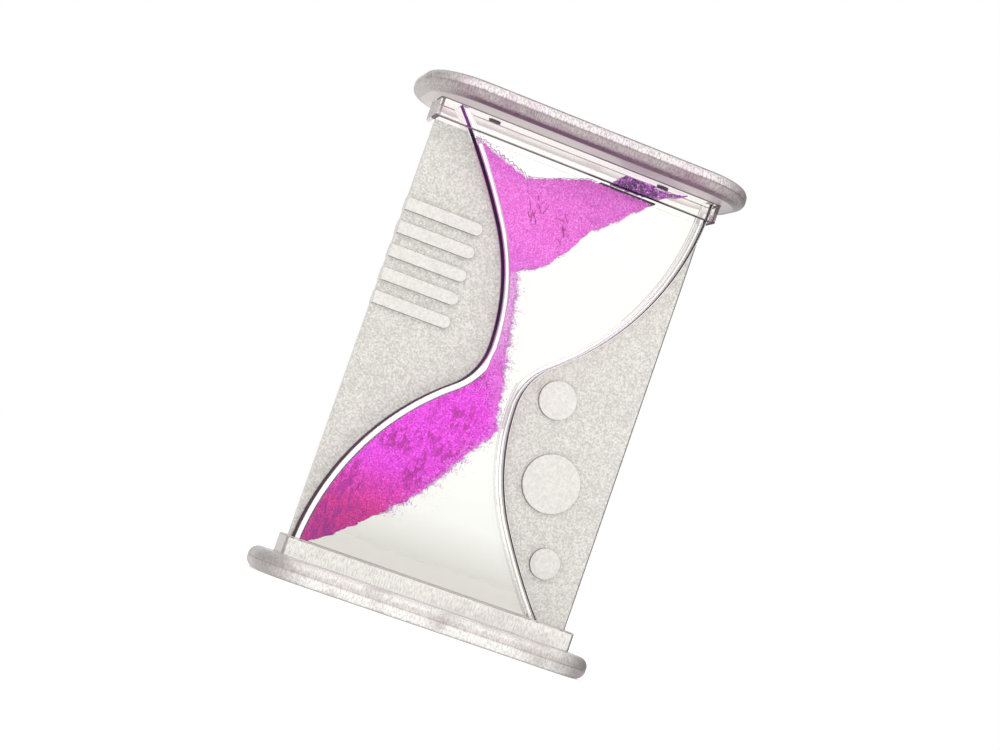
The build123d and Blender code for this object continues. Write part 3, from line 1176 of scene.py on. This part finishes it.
@dataclass
class Flange:
    """One end of the timer: a cover plate, a cap plate with its collar, and two plugs."""

    palette: Palette
    end: End
    total_height: float = 140.0
    size: Pair = (95.0, 40.0)
    corner: float = 15.0
    plate: float = 3.0
    nose: float = 2.7
    nose_points: int = 12
    land: float = 0.15
    film: float = 0.05
    pocket: Pair = (80.2, 13.0)
    pocket_corner: float = 0.2
    pocket_lead: float = 0.1
    collar_wall: float = 1.1
    collar_height: float = 5.3
    collar_corner: float = 1.0
    least_corner: float = 0.3
    collar_rim: float = 0.5
    rim_points: int = 6
    foot_round: float = 0.25
    foot_points: int = 4
    port_spacing: float = 50.0
    plug_points: int = 32
    plug_radius: float = 1.7
    plug_bevel: float = 0.2
    head_radius: float = 2.7
    head: float = 1.0
    head_bevel: float = 0.15
    head_gap: float = 0.02
    tip: float = 0.8

    def stack(self, name: str, rings: list[tuple[Array, float]], finishes: list[Finish],
              kinds: list[int], slot: str, node: str) -> Object:
        """Carries a profile round: each ring is an outline at its height, joined to the next.

        Args:
            name: the piece's name.
            rings: outlines with as many points each, and their heights above the end's face.
            finishes: the piece's finishes.
            kinds: the finish's number for each band between rings, then for the two ends.
            slot: not used.
            node: the solid that the piece stands for.

        Returns:
            The piece.
        """
        levels = np.array([height for _, height in rings])
        if self.end is End.TOP:
            levels = self.total_height - levels
        points = stacked(np.stack([ring for ring, _ in rings]), levels)
        rows, columns = points.shape[:2]
        each = np.append(np.repeat(kinds[:-2], columns), kinds[-2:])
        mesh = closed_mesh(name, points, grid_faces(rows, columns), each)
        return place_piece(mesh, finishes, node, sharp=40)

    def outline(self, inset: float) -> Array:
        """The flange's outline at an inset."""
        return rounded_rectangle(self.size, -inset, self.corner - inset)

    def nose_rings(self, flat: float, crown: float) -> list[tuple[Array, float]]:
        """The quarter-round nose, from the height where it starts to the face that it reaches.

        Args:
            flat: the height of the joint face.
            crown: the height of the face at the nose's far side.

        Returns:
            Rings over the nose, with a narrow land beside the joint.
        """
        way = 1 if crown > flat else -1
        rings = [(self.outline(self.land), flat), (self.outline(0.0), flat + way * self.land)]
        for angle in np.linspace(0, math.pi / 2, self.nose_points):
            rings.append((self.outline(self.nose * (1 - math.cos(angle))),
                          crown - way * self.nose * (1 - math.sin(angle))))
        return rings

    def cap(self) -> Object:
        """The inner plate, its nose and the collar round the body's end.

        Returns:
            The piece.
        """
        floor = 2 * self.plate
        top = floor + self.collar_height

        def collar(grow: float, height: float) -> tuple[Array, float]:
            """The collar's outer outline, grown by an amount, at a height."""
            corner = max(self.collar_corner + grow, self.least_corner)
            return rounded_rectangle(self.pocket, self.collar_wall + grow, corner), height

        rings = self.nose_rings(self.plate, floor)
        bands = len(rings) - 1
        for angle in np.linspace(math.pi / 2, 0, self.foot_points):
            rings.append(collar(self.foot_round * math.sin(angle) ** 2,
                                floor + self.foot_round * (1 - math.sin(angle))))
        for angle in np.linspace(0, math.pi / 2, self.rim_points):
            rings.append(collar(-self.collar_rim * (1 - math.cos(angle)),
                                top - self.collar_rim * (1 - math.sin(angle))))
        lead = self.pocket_lead
        well = rounded_rectangle(self.pocket, 0.0, self.pocket_corner)
        rings += [(rounded_rectangle(self.pocket, lead, self.pocket_corner + lead), top),
                  (well, top - lead), (well, floor)]
        edge, under, side, rim, wet, bed, joint = range(7)
        kinds = ([edge] * bands + [under] + [rim] * (self.foot_points - 1) + [side]
                 + [rim] * (self.rim_points + 1) + [wet, joint, bed])
        look = self.palette
        finishes = [look.bottom_edge, look.plate_inside, look.bottom_collar, look.bottom_rim]
        if self.end is End.TOP:
            finishes = [look.top_cap_edge, look.top_underside, look.top_collar, look.collar_rim]
        finishes += [look.wet_wall, look.pocket_floor, look.plate_inside]
        name = f"{self.end.name.lower()}_cap"
        return self.stack(f"{name}_plate", rings, finishes, kinds, "clear_cap", name)

    def cover(self) -> Object:
        """The outer plate with its nose, a film of air off the cap plate.

        Returns:
            The piece.
        """
        rings = self.nose_rings(self.plate - self.film, 0.0)
        edge, face = range(2)
        look = self.palette
        finish = look.top_edge if self.end is End.TOP else look.bottom_edge
        name = f"{self.end.name.lower()}_cover"
        return self.stack(f"{name}_plate", rings, [finish, look.plate_face],
                          [edge] * (len(rings) - 1) + [face, face], "clear_cap", name)

    def plug(self, name: str, x: float, node: str) -> Object:
        """One headed plug, turned: radii and heights of its edge, spun about its axis.

        Args:
            name: the piece's name.
            x: where its axis stands.
            node: the solid that it stands for.

        Returns:
            The piece.
        """
        stem, head = self.plug_radius, self.head_radius
        base = self.plate
        neck, tip = base + self.head, base + self.plate + self.tip
        edge = [(head - self.plug_bevel, base + self.head_gap), (head, base + self.plug_bevel),
                (head, neck - self.head_bevel), (head - self.head_bevel, neck), (stem, neck),
                (stem, base + self.plate), (stem, tip - self.plug_bevel),
                (stem - self.plug_bevel, tip)]
        angles = np.linspace(0, 2 * math.pi, self.plug_points, endpoint=False)
        circle = np.stack([np.cos(angles), np.sin(angles)], axis=1)
        rings = [(circle * radius + np.array([x, 0.0]), height) for radius, height in edge]
        # The tip faces take plug_tip, painted near black as shade
        milky, shaded_tip = range(2)
        return self.stack(name, rings, [self.palette.plug, self.palette.plug_tip],
                          [milky] * 5 + [shaded_tip] * 2 + [milky, shaded_tip], "plug", node)

    def build(self) -> list[Object]:
        """Builds the cover, the cap and the two plugs of this end.

        Returns:
            The pieces.
        """
        plugs = (("vent_plug_pin", "vent_plug"), ("fill_plug_pin", "fill_plug"))
        if self.end is End.BOTTOM:
            plugs = (("bottom_plug_left", "bottom_plugs"), ("bottom_plug_right", "bottom_plugs"))
        pieces = [self.cover(), self.cap()]
        for flank, (name, node) in zip(Flank, plugs):
            pieces.append(self.plug(name, flank.value * self.port_spacing / 2, node))
        return pieces


@dataclass
class Grains:
    """Bead grit scattered over a heap: small twenty-sided grains, each turned its own way."""

    radius: float = 0.22
    spread: float = 0.28

    def solid(self) -> tuple[Array, Array]:
        """The icosahedron: two rings of five between two poles, a tenth of a turn apart.

        Returns:
            Its points and its twenty faces.
        """
        ring = np.arange(5) * 2 * math.pi / 5
        level, wide = 1 / math.sqrt(5), 2 / math.sqrt(5)
        upper, lower = (np.stack([wide * np.cos(turn), wide * np.sin(turn), np.full(5, height)],
                                 axis=1)
                        for turn, height in ((ring, level), (ring + math.pi / 5, -level)))
        points = np.vstack([[[0, 0, 1]], upper, lower, [[0, 0, -1]]])
        k = np.arange(5)
        n = (k + 1) % 5
        top, bottom = np.zeros(5, int), np.full(5, 11)
        faces = np.vstack([
            np.stack(corners, axis=1) for corners in (
                (top, 1 + k, 1 + n), (1 + k, 6 + k, 1 + n), (1 + n, 6 + k, 6 + n),
                (bottom, 6 + n, 6 + k))])
        return points, faces

    def build(self, name: str, centres: Array, shades: Array, finish: Finish, node: str,
              seed: int) -> Object:
        """Builds one mesh of all the grains.

        Each grain is the icosahedron, scaled by its own size, turned by a random unit quaternion
        and moved to its centre.

        Args:
            name: the piece's name.
            centres: the grains' centres in millimetres.
            shades: the grains' shades, from 0 to 1.
            finish: the bead finish.
            node: the solid that they belong to.
            seed: the seed of their turns and sizes.

        Returns:
            The piece.
        """
        rng = np.random.default_rng(seed)
        count = len(centres)
        points, faces = self.solid()
        q = rng.normal(size=(count, 4))
        q /= np.linalg.norm(q, axis=1, keepdims=True)
        w, x, y, z = q.T
        turns = np.stack([
            1 - 2 * (y * y + z * z), 2 * (x * y - z * w), 2 * (x * z + y * w),
            2 * (x * y + z * w), 1 - 2 * (x * x + z * z), 2 * (y * z - x * w),
            2 * (x * z - y * w), 2 * (y * z + x * w), 1 - 2 * (x * x + y * y)],
            axis=1).reshape(count, 3, 3)
        sizes = self.radius * (1 + self.spread * rng.uniform(-1, 1, count))
        cloud = np.einsum("nij,pj->npi", turns, points) * sizes[:, None, None]
        cloud = cloud + centres[:, None, :]
        numbers = faces[None] + (np.arange(count) * len(points))[:, None, None]
        mesh = bpy.data.meshes.new(name)
        mesh.from_pydata((cloud.reshape(-1, 3) * MILLIMETRE).tolist(), [],
                         numbers.reshape(-1, 3).tolist())
        shade_points(mesh, np.repeat(shades, len(points)))
        return place_piece(mesh, [finish], node, sharp=20, even=False)


@dataclass
class Heap:
    """A heap of beads as a band: for each place along it, it runs from a low to a high line.

    An upright band runs along the height and across X, any other along X and across the height.
    """

    name: str
    node: str
    along: Array
    low: Array
    high: Array
    finish: Finish
    side_finish: Finish
    seed: int
    upright: bool = False
    half_depth: float = 4.5
    depth_knot: float = 1.3
    depth_noise: float = 0.05
    corner: float = 0.5
    corner_points: int = 4
    thinnest: float = 0.3
    core_shade: float = 0.4
    grains_per_square: float = 5.0
    margin: float = 0.25
    overhang: float = 0.05
    shade_law: Pair = (2.0, 2.2)
    spike_knot: float = 0.9
    spike_height: float = 0.8
    fringe_start: float = 0.15

    def to_space(self, along: Array, across: Array, depth: Array) -> Array:
        """Points in space from places along, across and in depth of the band."""
        return in_space(across, depth, along) if self.upright else in_space(along, depth, across)

    def body(self) -> Object:
        """The heap's closed core: rounded rectangles across the band, one after another.

        Returns:
            The piece.
        """
        half = self.half_depth + value_noise(self.along, self.depth_knot, self.depth_noise,
                                             self.seed + 5)
        high = np.maximum(self.high, self.low + self.thinnest)
        loops = section_loops(self.low, high, half, self.corner, self.corner_points)
        rows, columns = loops.shape[:2]
        points = self.to_space(self.along[:, None], loops[..., 0], loops[..., 1])
        column = np.arange((rows - 1) * columns) % columns
        on_wall = (column >= self.corner_points) & (column < 3 * self.corner_points - 1)
        kinds = np.append(on_wall.astype(int), [0, 0])
        mesh = closed_mesh(self.name, points, grid_faces(rows, columns), kinds)
        shade_points(mesh, np.full(len(mesh.vertices), self.core_shade))
        return place_piece(mesh, [self.finish, self.side_finish], self.node,
                           sharp=60, even=False)

    def scatter(self, face: Face, rough: Pair = (-0.12, 0.08)) -> Object:
        """Grains over the front or the back of the heap.

        A place is taken at random over the band's own box and kept where it lies in the band.

        Args:
            face: the face that they lie on.
            rough: how far under and over the face they lie.

        Returns:
            The piece.
        """
        rng = np.random.default_rng(self.seed + 11 * (face.value + 2))
        bottom, top = self.low.min(), self.high.max()
        run = abs(self.along[-1] - self.along[0])
        count = int(run * (top - bottom) * self.grains_per_square)
        along = rng.uniform(self.along[0], self.along[-1], count)
        across = rng.uniform(bottom, top, count)
        low = np.interp(along, self.along, self.low)
        high = np.interp(along, self.along, self.high)
        keep = (across > low + self.margin) & (across < high + self.overhang)
        along, across = along[keep], across[keep]
        depth = face.value * (self.half_depth + rng.uniform(*rough, len(along)))
        shades = np.clip(rng.beta(*self.shade_law, len(along)), 0, 1)
        return Grains().build(f"{self.name}_{face.name.lower()}_grains",
                              self.to_space(along, across, depth), shades, self.finish,
                              self.node, self.seed + 3)

    def veil(self, name: str, span: Pair, per_mm: float, reach: float, finish: Finish,
             rough: Pair = (-0.02, 0.10)) -> Object:
        """Paler grains over both faces of the heap beside its high edge.

        They thin out inwards by an exponential law, and evenly from one end of the span to none
        at its start.

        Args:
            name: the piece's name.
            span: where along the band they lie.
            per_mm: how many grains there are for each millimetre of the edge.
            reach: the mean distance inside the edge.
            finish: the grains' finish.
            rough: how far under and over the face they lie.

        Returns:
            The piece.
        """
        rng = np.random.default_rng(self.seed + 41)
        count = int((span[1] - span[0]) * per_mm)
        along = rng.triangular(span[0], span[1], span[1], count)
        across = np.interp(along, self.along, self.high) - rng.exponential(reach, count)
        keep = across > np.interp(along, self.along, self.low) + self.margin
        along, across = along[keep], across[keep]
        side = rng.choice([-1, 1], len(along))
        depth = side * (self.half_depth + rng.uniform(*rough, len(along)))
        shades = rng.beta(*self.shade_law, len(along))
        return Grains().build(name, self.to_space(along, across, depth), shades, finish,
                              self.node, self.seed + 6)

    def fringe(self, edge: Array, outwards: int, per_mm: float, reach: float, finish: Finish,
               span: Pair, radius: float = 0.13) -> Object:
        """Grains along a free edge of the heap, thinning out away from it.

        Args:
            edge: the edge's places across the band.
            outwards: the way off the heap across the band, 1 or -1.
            per_mm: how many grains there are for each millimetre of the edge.
            reach: the mean distance off the edge.
            finish: the grains' finish.
            span: where along the band they lie.
            radius: the grains' mean radius.

        Returns:
            The piece.
        """
        rng = np.random.default_rng(self.seed + 29 + outwards)
        count = int((span[1] - span[0]) * per_mm)
        along = rng.uniform(*span, count)
        spikes = 1 + value_noise(along, self.spike_knot, self.spike_height, self.seed + 31)
        off = rng.exponential(reach, count) * spikes - self.fringe_start
        across = np.interp(along, self.along, edge) + outwards * off
        depth = rng.uniform(-self.half_depth, self.half_depth, count)
        shades = rng.beta(*self.shade_law, count)
        side = "upper" if outwards > 0 else "lower"
        return Grains(radius).build(f"{self.name}_{side}_fringe",
                                    self.to_space(along, across, depth), shades, finish,
                                    self.node, self.seed + 4)


def across_line(line: Line, height: Array) -> Array:
    """X of a line of places at each height."""
    places = np.array(line)
    return np.interp(height, places[:, 1], places[:, 0])


@dataclass
class Contents:
    """What the chamber holds: two heaps of beads, the stream between them, and the liquid.

    The free edges are lists of places, X and height from the middle of the body. A sloping line
    stands for the level of the liquid, because the timer is held at a tilt.
    """

    palette: Palette
    wall: ChamberWall
    stand_off: float = 0.12
    least: float = 0.1
    heap_rows: int = 420
    top: float = 63.85
    rim: float = 57.9
    line_grain: float = 0.1
    line_depth: float = -4.74
    line_shades: Pair = (0.2, 0.8)
    crease_places: Line = ((-6.6, 43.2), (2.4, 43.0))
    crease_count: int = 18
    crease_grains: int = 30
    crease_spread: Pair = (0.96, 1.6)
    crease_lean: Pair = (-0.35, 0.5)
    crease_lengths: Pair = (0.6, 3.0)
    crease_wander: float = 0.06
    foam_span: Pair = (-28.5, -10.5)
    foam_reach: Pair = (-29.2, 6.5)
    foam_fade: Pair = (-14.0, -9.0)
    foam_film: float = 0.25
    foam_grains: int = 560
    foam_bubble: float = 0.5
    foam_pitch: float = 1.5
    foam_height: float = 0.5
    crest_height: float = 0.55
    crest_reach: Pair = (7.7, 24.0)
    crest_rows: int = 90
    level_start: Pair = (-12.0, 52.0)
    level_end: Pair = (30.2, 67.2)
    upper_left: Pair = (-29.6, 57.5)
    upper_right: float = 30.4
    upper_wall_from: float = 5.0
    upper_free: Pair = (-7.2, 23.0)
    upper_face: Line = (
        (-7.2, 26.7), (-5.4, 28.3), (-0.5, 30.9), (1.7, 33.2), (5.8, 38.2), (7.5, 41.7),
        (9.3, 45.0), (11.6, 46.7), (16.1, 51.0), (20.6, 55.3), (23.2, 58.0), (31.0, 64.0))
    ceiling_rows: int = 120
    ceiling_low: Line = ((11.8, 59.6), (19.2, 59.6), (25.4, 60.5), (28.0, 61.9), (31.8, 63.3))
    ceiling_high: Line = (
        (11.8, 60.3), (13.6, 62.6), (22.0, 62.8), (23.0, 62.3), (27.0, 62.4), (31.8, 63.4))
    stream_reach: Pair = (-0.8, 27.2)
    stream_rows: int = 260
    stream_least: float = 0.4
    stream_edge: Line = (
        (-0.3, -0.8), (-0.6, 1.4), (-1.9, 8.0), (-3.5, 16.0), (-4.8, 24.0), (-6.0, 26.9))
    lower_face: Line = (
        (-39.0, -60.8), (-29.5, -55.0), (-21.0, -47.0), (-12.6, -38.3), (-9.4, -33.6),
        (-5.6, -28.0), (-2.0, -22.0), (-0.2, -18.8), (1.9, -16.6), (2.8, -14.3),
        (1.7, -10.5), (1.2, -6.4), (0.3, -2.4), (-0.2, -0.7))
    lower_shown: Pair = (-46.0, -0.7)
    neck_shown: Pair = (-9.0, -0.7)
    loose_grain: float = 0.09
    loose_count: int = 900
    loose_reach: Pair = (-46.0, 30.0)
    loose_start: float = 0.3
    loose_drift: float = 2.2
    loose_margin: float = 0.5
    loose_shades: Pair = (0.2, 0.9)
    loose_depth: float = 4.4
    liquid_gap: float = 0.06
    liquid_half: float = 4.84
    liquid_corner: float = 0.3
    liquid_rows: int = 160

    def level_rise(self) -> float:
        """The level's rise for a run along X."""
        return (self.level_end[1] - self.level_start[1]) / (self.level_end[0] - self.level_start[0])

    def upper(self) -> Heap:
        """The hanging heap: a band along X, from the wall and the free face to the level.

        Returns:
            The heap.
        """
        along = np.linspace(self.upper_left[0], self.upper_right, self.heap_rows)
        line = self.wall.curve(self.wall.wall + self.stand_off)
        line = line[line[:, 1] > self.upper_wall_from][::-1]
        on_wall = np.interp(along, line[:, 0], line[:, 1], left=OUT_OF_REACH,
                            right=-OUT_OF_REACH)
        free = np.interp(along, *np.array(self.upper_face).T, left=-OUT_OF_REACH)
        free = (free + value_noise(along, knot=0.8, height=0.45, seed=21)
                + value_noise(along, knot=0.25, height=0.25, seed=25))
        low = np.where(along < self.upper_face[0][0], on_wall, free)
        start_x, start_z = self.level_start
        level = start_z + self.level_rise() * (along - start_x)
        left = np.interp(along, [self.upper_left[0], start_x], [self.upper_left[1], start_z])
        left = left + value_noise(along, knot=0.9, height=0.35, seed=22)
        level = level + value_noise(along, knot=1.2, height=0.12, seed=23)
        high = np.minimum(np.where(along < start_x, left, level), self.rim)
        inside = low < high - self.least / 2
        beads = self.palette.upper_beads
        return Heap("upper_heap", "upper_beads", along[inside], low[inside], high[inside],
                    beads, beads, seed=40)

    def ceiling(self) -> Heap:
        """The beads that stay under the cap, seen through its collar: a thin band along X in painted
        shade.

        Returns:
            The heap.
        """
        along = np.linspace(self.ceiling_low[0][0], self.ceiling_low[-1][0], self.ceiling_rows)
        low = np.interp(along, *np.array(self.ceiling_low).T)
        low = low + value_noise(along, knot=0.8, height=0.25, seed=24)
        high = np.maximum(np.interp(along, *np.array(self.ceiling_high).T), low + self.least)
        beads = self.palette.shadow_beads
        return Heap("ceiling_heap", "upper_beads", along, low, high, beads, beads, seed=50)

    def crest(self) -> Heap:
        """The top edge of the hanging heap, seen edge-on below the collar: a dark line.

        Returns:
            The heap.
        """
        along = np.linspace(*self.crest_reach, self.crest_rows)
        low = self.rim + value_noise(along, knot=0.9, height=0.08, seed=26)
        high = np.full(len(along), self.rim + self.crest_height)
        # The crest's beads are painted almost black as shade
        beads = self.palette.crest_shade_beads
        return Heap("heap_crest", "upper_beads", along, low, high, beads, beads, seed=70,
                    half_depth=4.6, corner=0.2)

    def stream(self) -> Heap:
        """The run of beads that climbs along the left wall: a band up the neck.

        Returns:
            The heap.
        """
        along = np.linspace(*self.stream_reach, self.stream_rows)
        low = self.wall.left(along, self.wall.wall + self.stand_off)
        high = across_line(self.stream_edge, along)
        high = high + value_noise(along, knot=0.5, height=0.6, seed=31)
        high = np.maximum(high, low + self.stream_least)
        beads = self.palette.stream_beads
        return Heap("stream_run", "bead_stream", along, low, high, beads, beads, seed=60,
                    upright=True)

    def lower(self) -> Heap:
        """The heap that lies up against the left wall below the neck: a band in height.

        Returns:
            The heap.
        """
        along = np.linspace(self.lower_face[0][1], self.lower_face[-1][1], self.heap_rows)
        low = self.wall.left(along, self.wall.wall + self.stand_off)
        high = across_line(self.lower_face, along)
        high = high + value_noise(along, knot=0.7, height=0.55, seed=33)
        high = np.maximum(high, low + self.least)
        # Its faces against the wall take bead_side, painted shade
        return Heap("lower_heap", "lower_beads", along, low, high, self.palette.lower_beads,
                    self.palette.bead_side, seed=80, upright=True, grains_per_square=4.6)

    def creases(self) -> Object:
        """Short wandering cracks where the hanging heap settled, as lines of small grains in painted
        shade.

        Each crack starts near one of the two places, runs its own length at its own turn, and
        wanders sideways by a sum of small random steps.

        Returns:
            The piece.
        """
        rng = np.random.default_rng(61)
        count = self.crease_count
        places = np.repeat(np.array(self.crease_places), count // 2, axis=0)
        places = places + rng.normal(0.0, 1.0, (count, 2)) * np.array(self.crease_spread)
        run = np.linspace(0.0, 1.0, self.crease_grains)
        turn = rng.normal(*self.crease_lean, count)[:, None]
        length = rng.uniform(*self.crease_lengths, count)[:, None]
        wander = np.cumsum(rng.normal(0.0, self.crease_wander, (count, len(run))), axis=1)
        x = places[:, :1] + np.sin(turn) * length * run + np.cos(turn) * wander
        height = places[:, 1:] + np.cos(turn) * length * run - np.sin(turn) * wander
        centres = in_space(x.ravel(), self.line_depth, height.ravel())
        return Grains(self.line_grain).build("heap_creases", centres,
                                             rng.uniform(*self.line_shades, x.size),
                                             self.palette.crease_beads, "upper_beads", 62)

    def foam_line(self, upper: Heap) -> Object:
        """The skin of the foam that clings to the hanging heap: fine grains along a bubbly line.

        The line stands off the heap's high edge by a height that rises and falls in arches, the
        size of a sine wave's magnitude, on top of uneven heights. Over the level of the liquid it
        sinks to a thin film.

        Args:
            upper: the hanging heap.

        Returns:
            The piece.
        """
        x = np.linspace(*self.foam_reach, self.foam_grains)
        bubbles = self.foam_bubble * np.abs(np.sin(math.pi * x / self.foam_pitch))
        off = bubbles + self.foam_height + value_noise(x, knot=0.7, height=0.25, seed=64)
        off = off * np.interp(x, self.foam_fade, (1.0, self.foam_film))
        height = np.interp(x, upper.along, upper.high) + off
        shades = np.random.default_rng(63).uniform(*self.line_shades, len(x))
        return Grains(self.line_grain).build("foam_skin", in_space(x, self.line_depth, height),
                                             shades, self.palette.foam_skin, "upper_beads", 65)

    def loose(self) -> Object:
        """Single grains that drift in the liquid beside the lower heap and the stream.

        Returns:
            The piece.
        """
        rng = np.random.default_rng(97)
        height = rng.uniform(*self.loose_reach, self.loose_count)
        start = across_line(self.lower_face + self.stream_edge, height)
        x = start + self.loose_start + rng.exponential(self.loose_drift, self.loose_count)
        keep = x < self.wall.right(height, self.wall.wall) - self.loose_margin
        x, height = x[keep], height[keep]
        depth = rng.uniform(-self.loose_depth, self.loose_depth, len(x))
        return Grains(self.loose_grain).build("loose_grains", in_space(x, depth, height),
                                              rng.uniform(*self.loose_shades, len(x)),
                                              self.palette.mist_beads, "bead_stream", 98)

    def liquid(self) -> Object:
        """The liquid: loops just inside the chamber's walls, cut by the still level.

        Returns:
            The piece.
        """
        heights = self.wall.heights(self.liquid_rows)
        heights = heights[np.abs(heights) < self.top]
        gap = self.wall.wall + self.liquid_gap
        loops = section_loops(self.wall.left(heights, gap), self.wall.right(heights, gap),
                              np.full(len(heights), self.liquid_half), self.liquid_corner)
        mesh = closed_mesh("liquid_fill", stacked(loops, heights + BODY_MIDDLE),
                           grid_faces(*loops.shape[:2]))
        piece = place_piece(mesh, [self.palette.liquid], "liquid", even=False)
        work = bmesh.new()
        work.from_mesh(mesh)
        start = Vector((self.level_start[0], 0.0, BODY_MIDDLE + self.level_start[1])) * MILLIMETRE
        cut = bmesh.ops.bisect_plane(
            work, geom=work.verts[:] + work.edges[:] + work.faces[:], plane_co=start,
            plane_no=Vector((-self.level_rise(), 0.0, 1.0)), clear_outer=True)
        rim = [edge for edge in cut["geom_cut"] if isinstance(edge, bmesh.types.BMEdge)]
        bmesh.ops.contextual_create(work, geom=rim)
        bmesh.ops.recalc_face_normals(work, faces=work.faces)
        work.to_mesh(mesh)
        work.free()
        return piece

    def build(self) -> list[Object]:
        """Builds the heaps with their grains, the loose grains and the liquid.

        Returns:
            The pieces.
        """
        look = self.palette
        upper, stream, lower = self.upper(), self.stream(), self.lower()
        pieces = []
        for heap in (upper, stream, lower, self.ceiling()):
            pieces += [heap.body(), *(heap.scatter(face) for face in Face)]
        return pieces + [
            self.crest().body(),
            self.creases(),
            upper.fringe(upper.high, 1, per_mm=60.0, reach=0.4, finish=look.foam,
                         span=self.foam_span, radius=0.22),
            self.foam_line(upper),
            upper.fringe(upper.low, -1, per_mm=50.0, reach=0.22, finish=look.mist_beads,
                         span=self.upper_free),
            stream.fringe(stream.high, 1, per_mm=130.0, reach=0.45, finish=look.mist_beads,
                          span=self.stream_reach),
            lower.fringe(lower.high, 1, per_mm=90.0, reach=0.55, finish=look.mist_beads,
                         span=self.lower_shown),
            lower.veil("lower_heap_veil", self.lower_shown, per_mm=44.0, reach=1.0,
                       finish=look.veil_beads),
            lower.veil("neck_veil", self.neck_shown, per_mm=110.0, reach=3.2,
                       finish=look.veil_beads),
            self.loose(),
            self.liquid()]


@dataclass
class Studio:
    """The floor, the light and the camera. A bright sweep stands behind, darker at the sides."""

    camera_place: Triple = (-134.3, -602.2, 19.1)
    camera_right: Triple = (0.91563, -0.23209, 0.32827)
    camera_up: Triple = (-0.3385, -0.00454, 0.94095)
    lens: float = 82.64
    sensor: float = 36.0
    floor_size: float = 6000.0
    floor_drop: float = 0.05
    sheet: Finish = PaleSheet("pale_sheet", "#F4F4F2", 0.42)
    shown_strength: float = 1.0
    sweep_heights: Pair = (-0.3, 0.0)
    sweep_strengths: Pair = (0.75, 1.09)
    sweep: Stops = ((0.34, "#FFFFFF"), (0.62, "#989396"), (1.0, "#989396"))
    lamps: tuple[tuple[str, Triple, float, float], ...] = (
        ("key", (-420.0, -560.0, 620.0), 420.0, 3.0),
        ("fill", (520.0, -380.0, 260.0), 360.0, 1.0))
    bounces: tuple[tuple[str, int], ...] = (
        ("max_bounces", 28), ("transmission_bounces", 26), ("transparent_max_bounces", 32),
        ("diffuse_bounces", 4), ("glossy_bounces", 12))

    def floor(self) -> None:
        """A pale sheet that glows a little, as a sheet does on a light table."""
        half, drop = self.floor_size / 2, -self.floor_drop
        corners = np.array([[-half, -half, drop], [half, -half, drop], [half, half, drop],
                            [-half, half, drop]])
        mesh = bpy.data.meshes.new("floor")
        mesh.from_pydata((corners * MILLIMETRE).tolist(), [], [[0, 1, 2, 3]])
        mesh.materials.append(self.sheet.material())
        floor = bpy.data.objects.new("floor", mesh)
        bpy.context.scene.collection.objects.link(floor)

    def world(self) -> None:
        """White for the camera, and for all other rays a sweep that darkens towards the sides."""
        world = bpy.data.worlds.new("sweep")
        world.use_nodes = True
        bpy.context.scene.world = world
        tree = world.node_tree
        tree.nodes.clear()
        way = add_node(tree, "TexCoord").outputs["Generated"]
        parts = add_node(tree, "SeparateXYZ", {0: way})
        side = add_node(tree, "Math", {0: parts.outputs["X"]}, operation="ABSOLUTE")
        across = add_node(tree, "ValToRGB", {0: side}, self.sweep)
        strength = add_node(tree, "MapRange", {
            "Value": parts.outputs["Z"], "From Min": self.sweep_heights[0],
            "From Max": self.sweep_heights[1], "To Min": self.sweep_strengths[0],
            "To Max": self.sweep_strengths[1]})
        lit = add_node(tree, "Background", {"Color": across, "Strength": strength})
        shown = add_node(tree, "Background", {
            "Color": "#FFFFFF", "Strength": self.shown_strength})
        ray = add_node(tree, "LightPath")
        mix = add_node(tree, "MixShader", {0: ray.outputs["Is Camera Ray"], 1: lit, 2: shown})
        add_node(tree, "OutputWorld", {"Surface": mix})

    def lamp(self, name: str, place: Triple, size: float, power: float) -> None:
        """A soft square lamp that looks at the middle of the timer.

        Args:
            name: the lamp's name.
            place: where it stands, in millimetres.
            size: the length of its side, in millimetres.
            power: its power in watts.
        """
        light = bpy.data.lights.new(name, "AREA")
        light.shape = "SQUARE"
        light.size = size * MILLIMETRE
        light.energy = power
        spot = Vector(place) * MILLIMETRE
        aim = Vector((0.0, 0.0, BODY_MIDDLE)) * MILLIMETRE - spot
        lamp = bpy.data.objects.new(name, light)
        lamp.matrix_world = Matrix.LocRotScale(spot, aim.to_track_quat("-Z", "Y"), None)
        bpy.context.scene.collection.objects.link(lamp)

    def camera(self) -> None:
        """The camera at the photograph's place, turned as it was held against the timer."""
        right = Vector(self.camera_right).normalized()
        up = Vector(self.camera_up)
        up = (up - right * up.dot(right)).normalized()
        turn = Matrix((right, up, right.cross(up))).transposed()
        lens = bpy.data.cameras.new("camera")
        lens.lens = self.lens
        lens.sensor_width = self.sensor
        lens.sensor_fit = "HORIZONTAL"
        camera = bpy.data.objects.new("camera", lens)
        place = Matrix.Translation(Vector(self.camera_place) * MILLIMETRE)
        camera.matrix_world = place @ turn.to_4x4()
        bpy.context.scene.collection.objects.link(camera)
        bpy.context.scene.camera = camera

    def build(self) -> None:
        """Sets up the floor, the sweep, the soft lamps, the camera and the light's bounces."""
        self.floor()
        self.world()
        for lamp in self.lamps:
            self.lamp(*lamp)
        self.camera()
        scene = bpy.context.scene
        scene.view_settings.view_transform = "Standard"
        for name, count in self.bounces:
            setattr(scene.cycles, name, count)


def main() -> None:
    """Builds the timer piece by piece, then the studio."""
    logging.basicConfig(level=logging.INFO, format="%(name)s: %(message)s")
    palette = Palette()
    wall = ChamberWall()
    pieces = [Chamber(palette, wall).build()]
    pieces += [Wing(palette, wall, flank).build() for flank in Flank]
    pieces += Pads(palette).build()
    for end in End:
        pieces += Flange(palette, end).build()
    pieces += Contents(palette, wall).build()
    Studio().build()
    log.info("%d pieces", len(pieces))


if __name__ == "__main__":
    main()
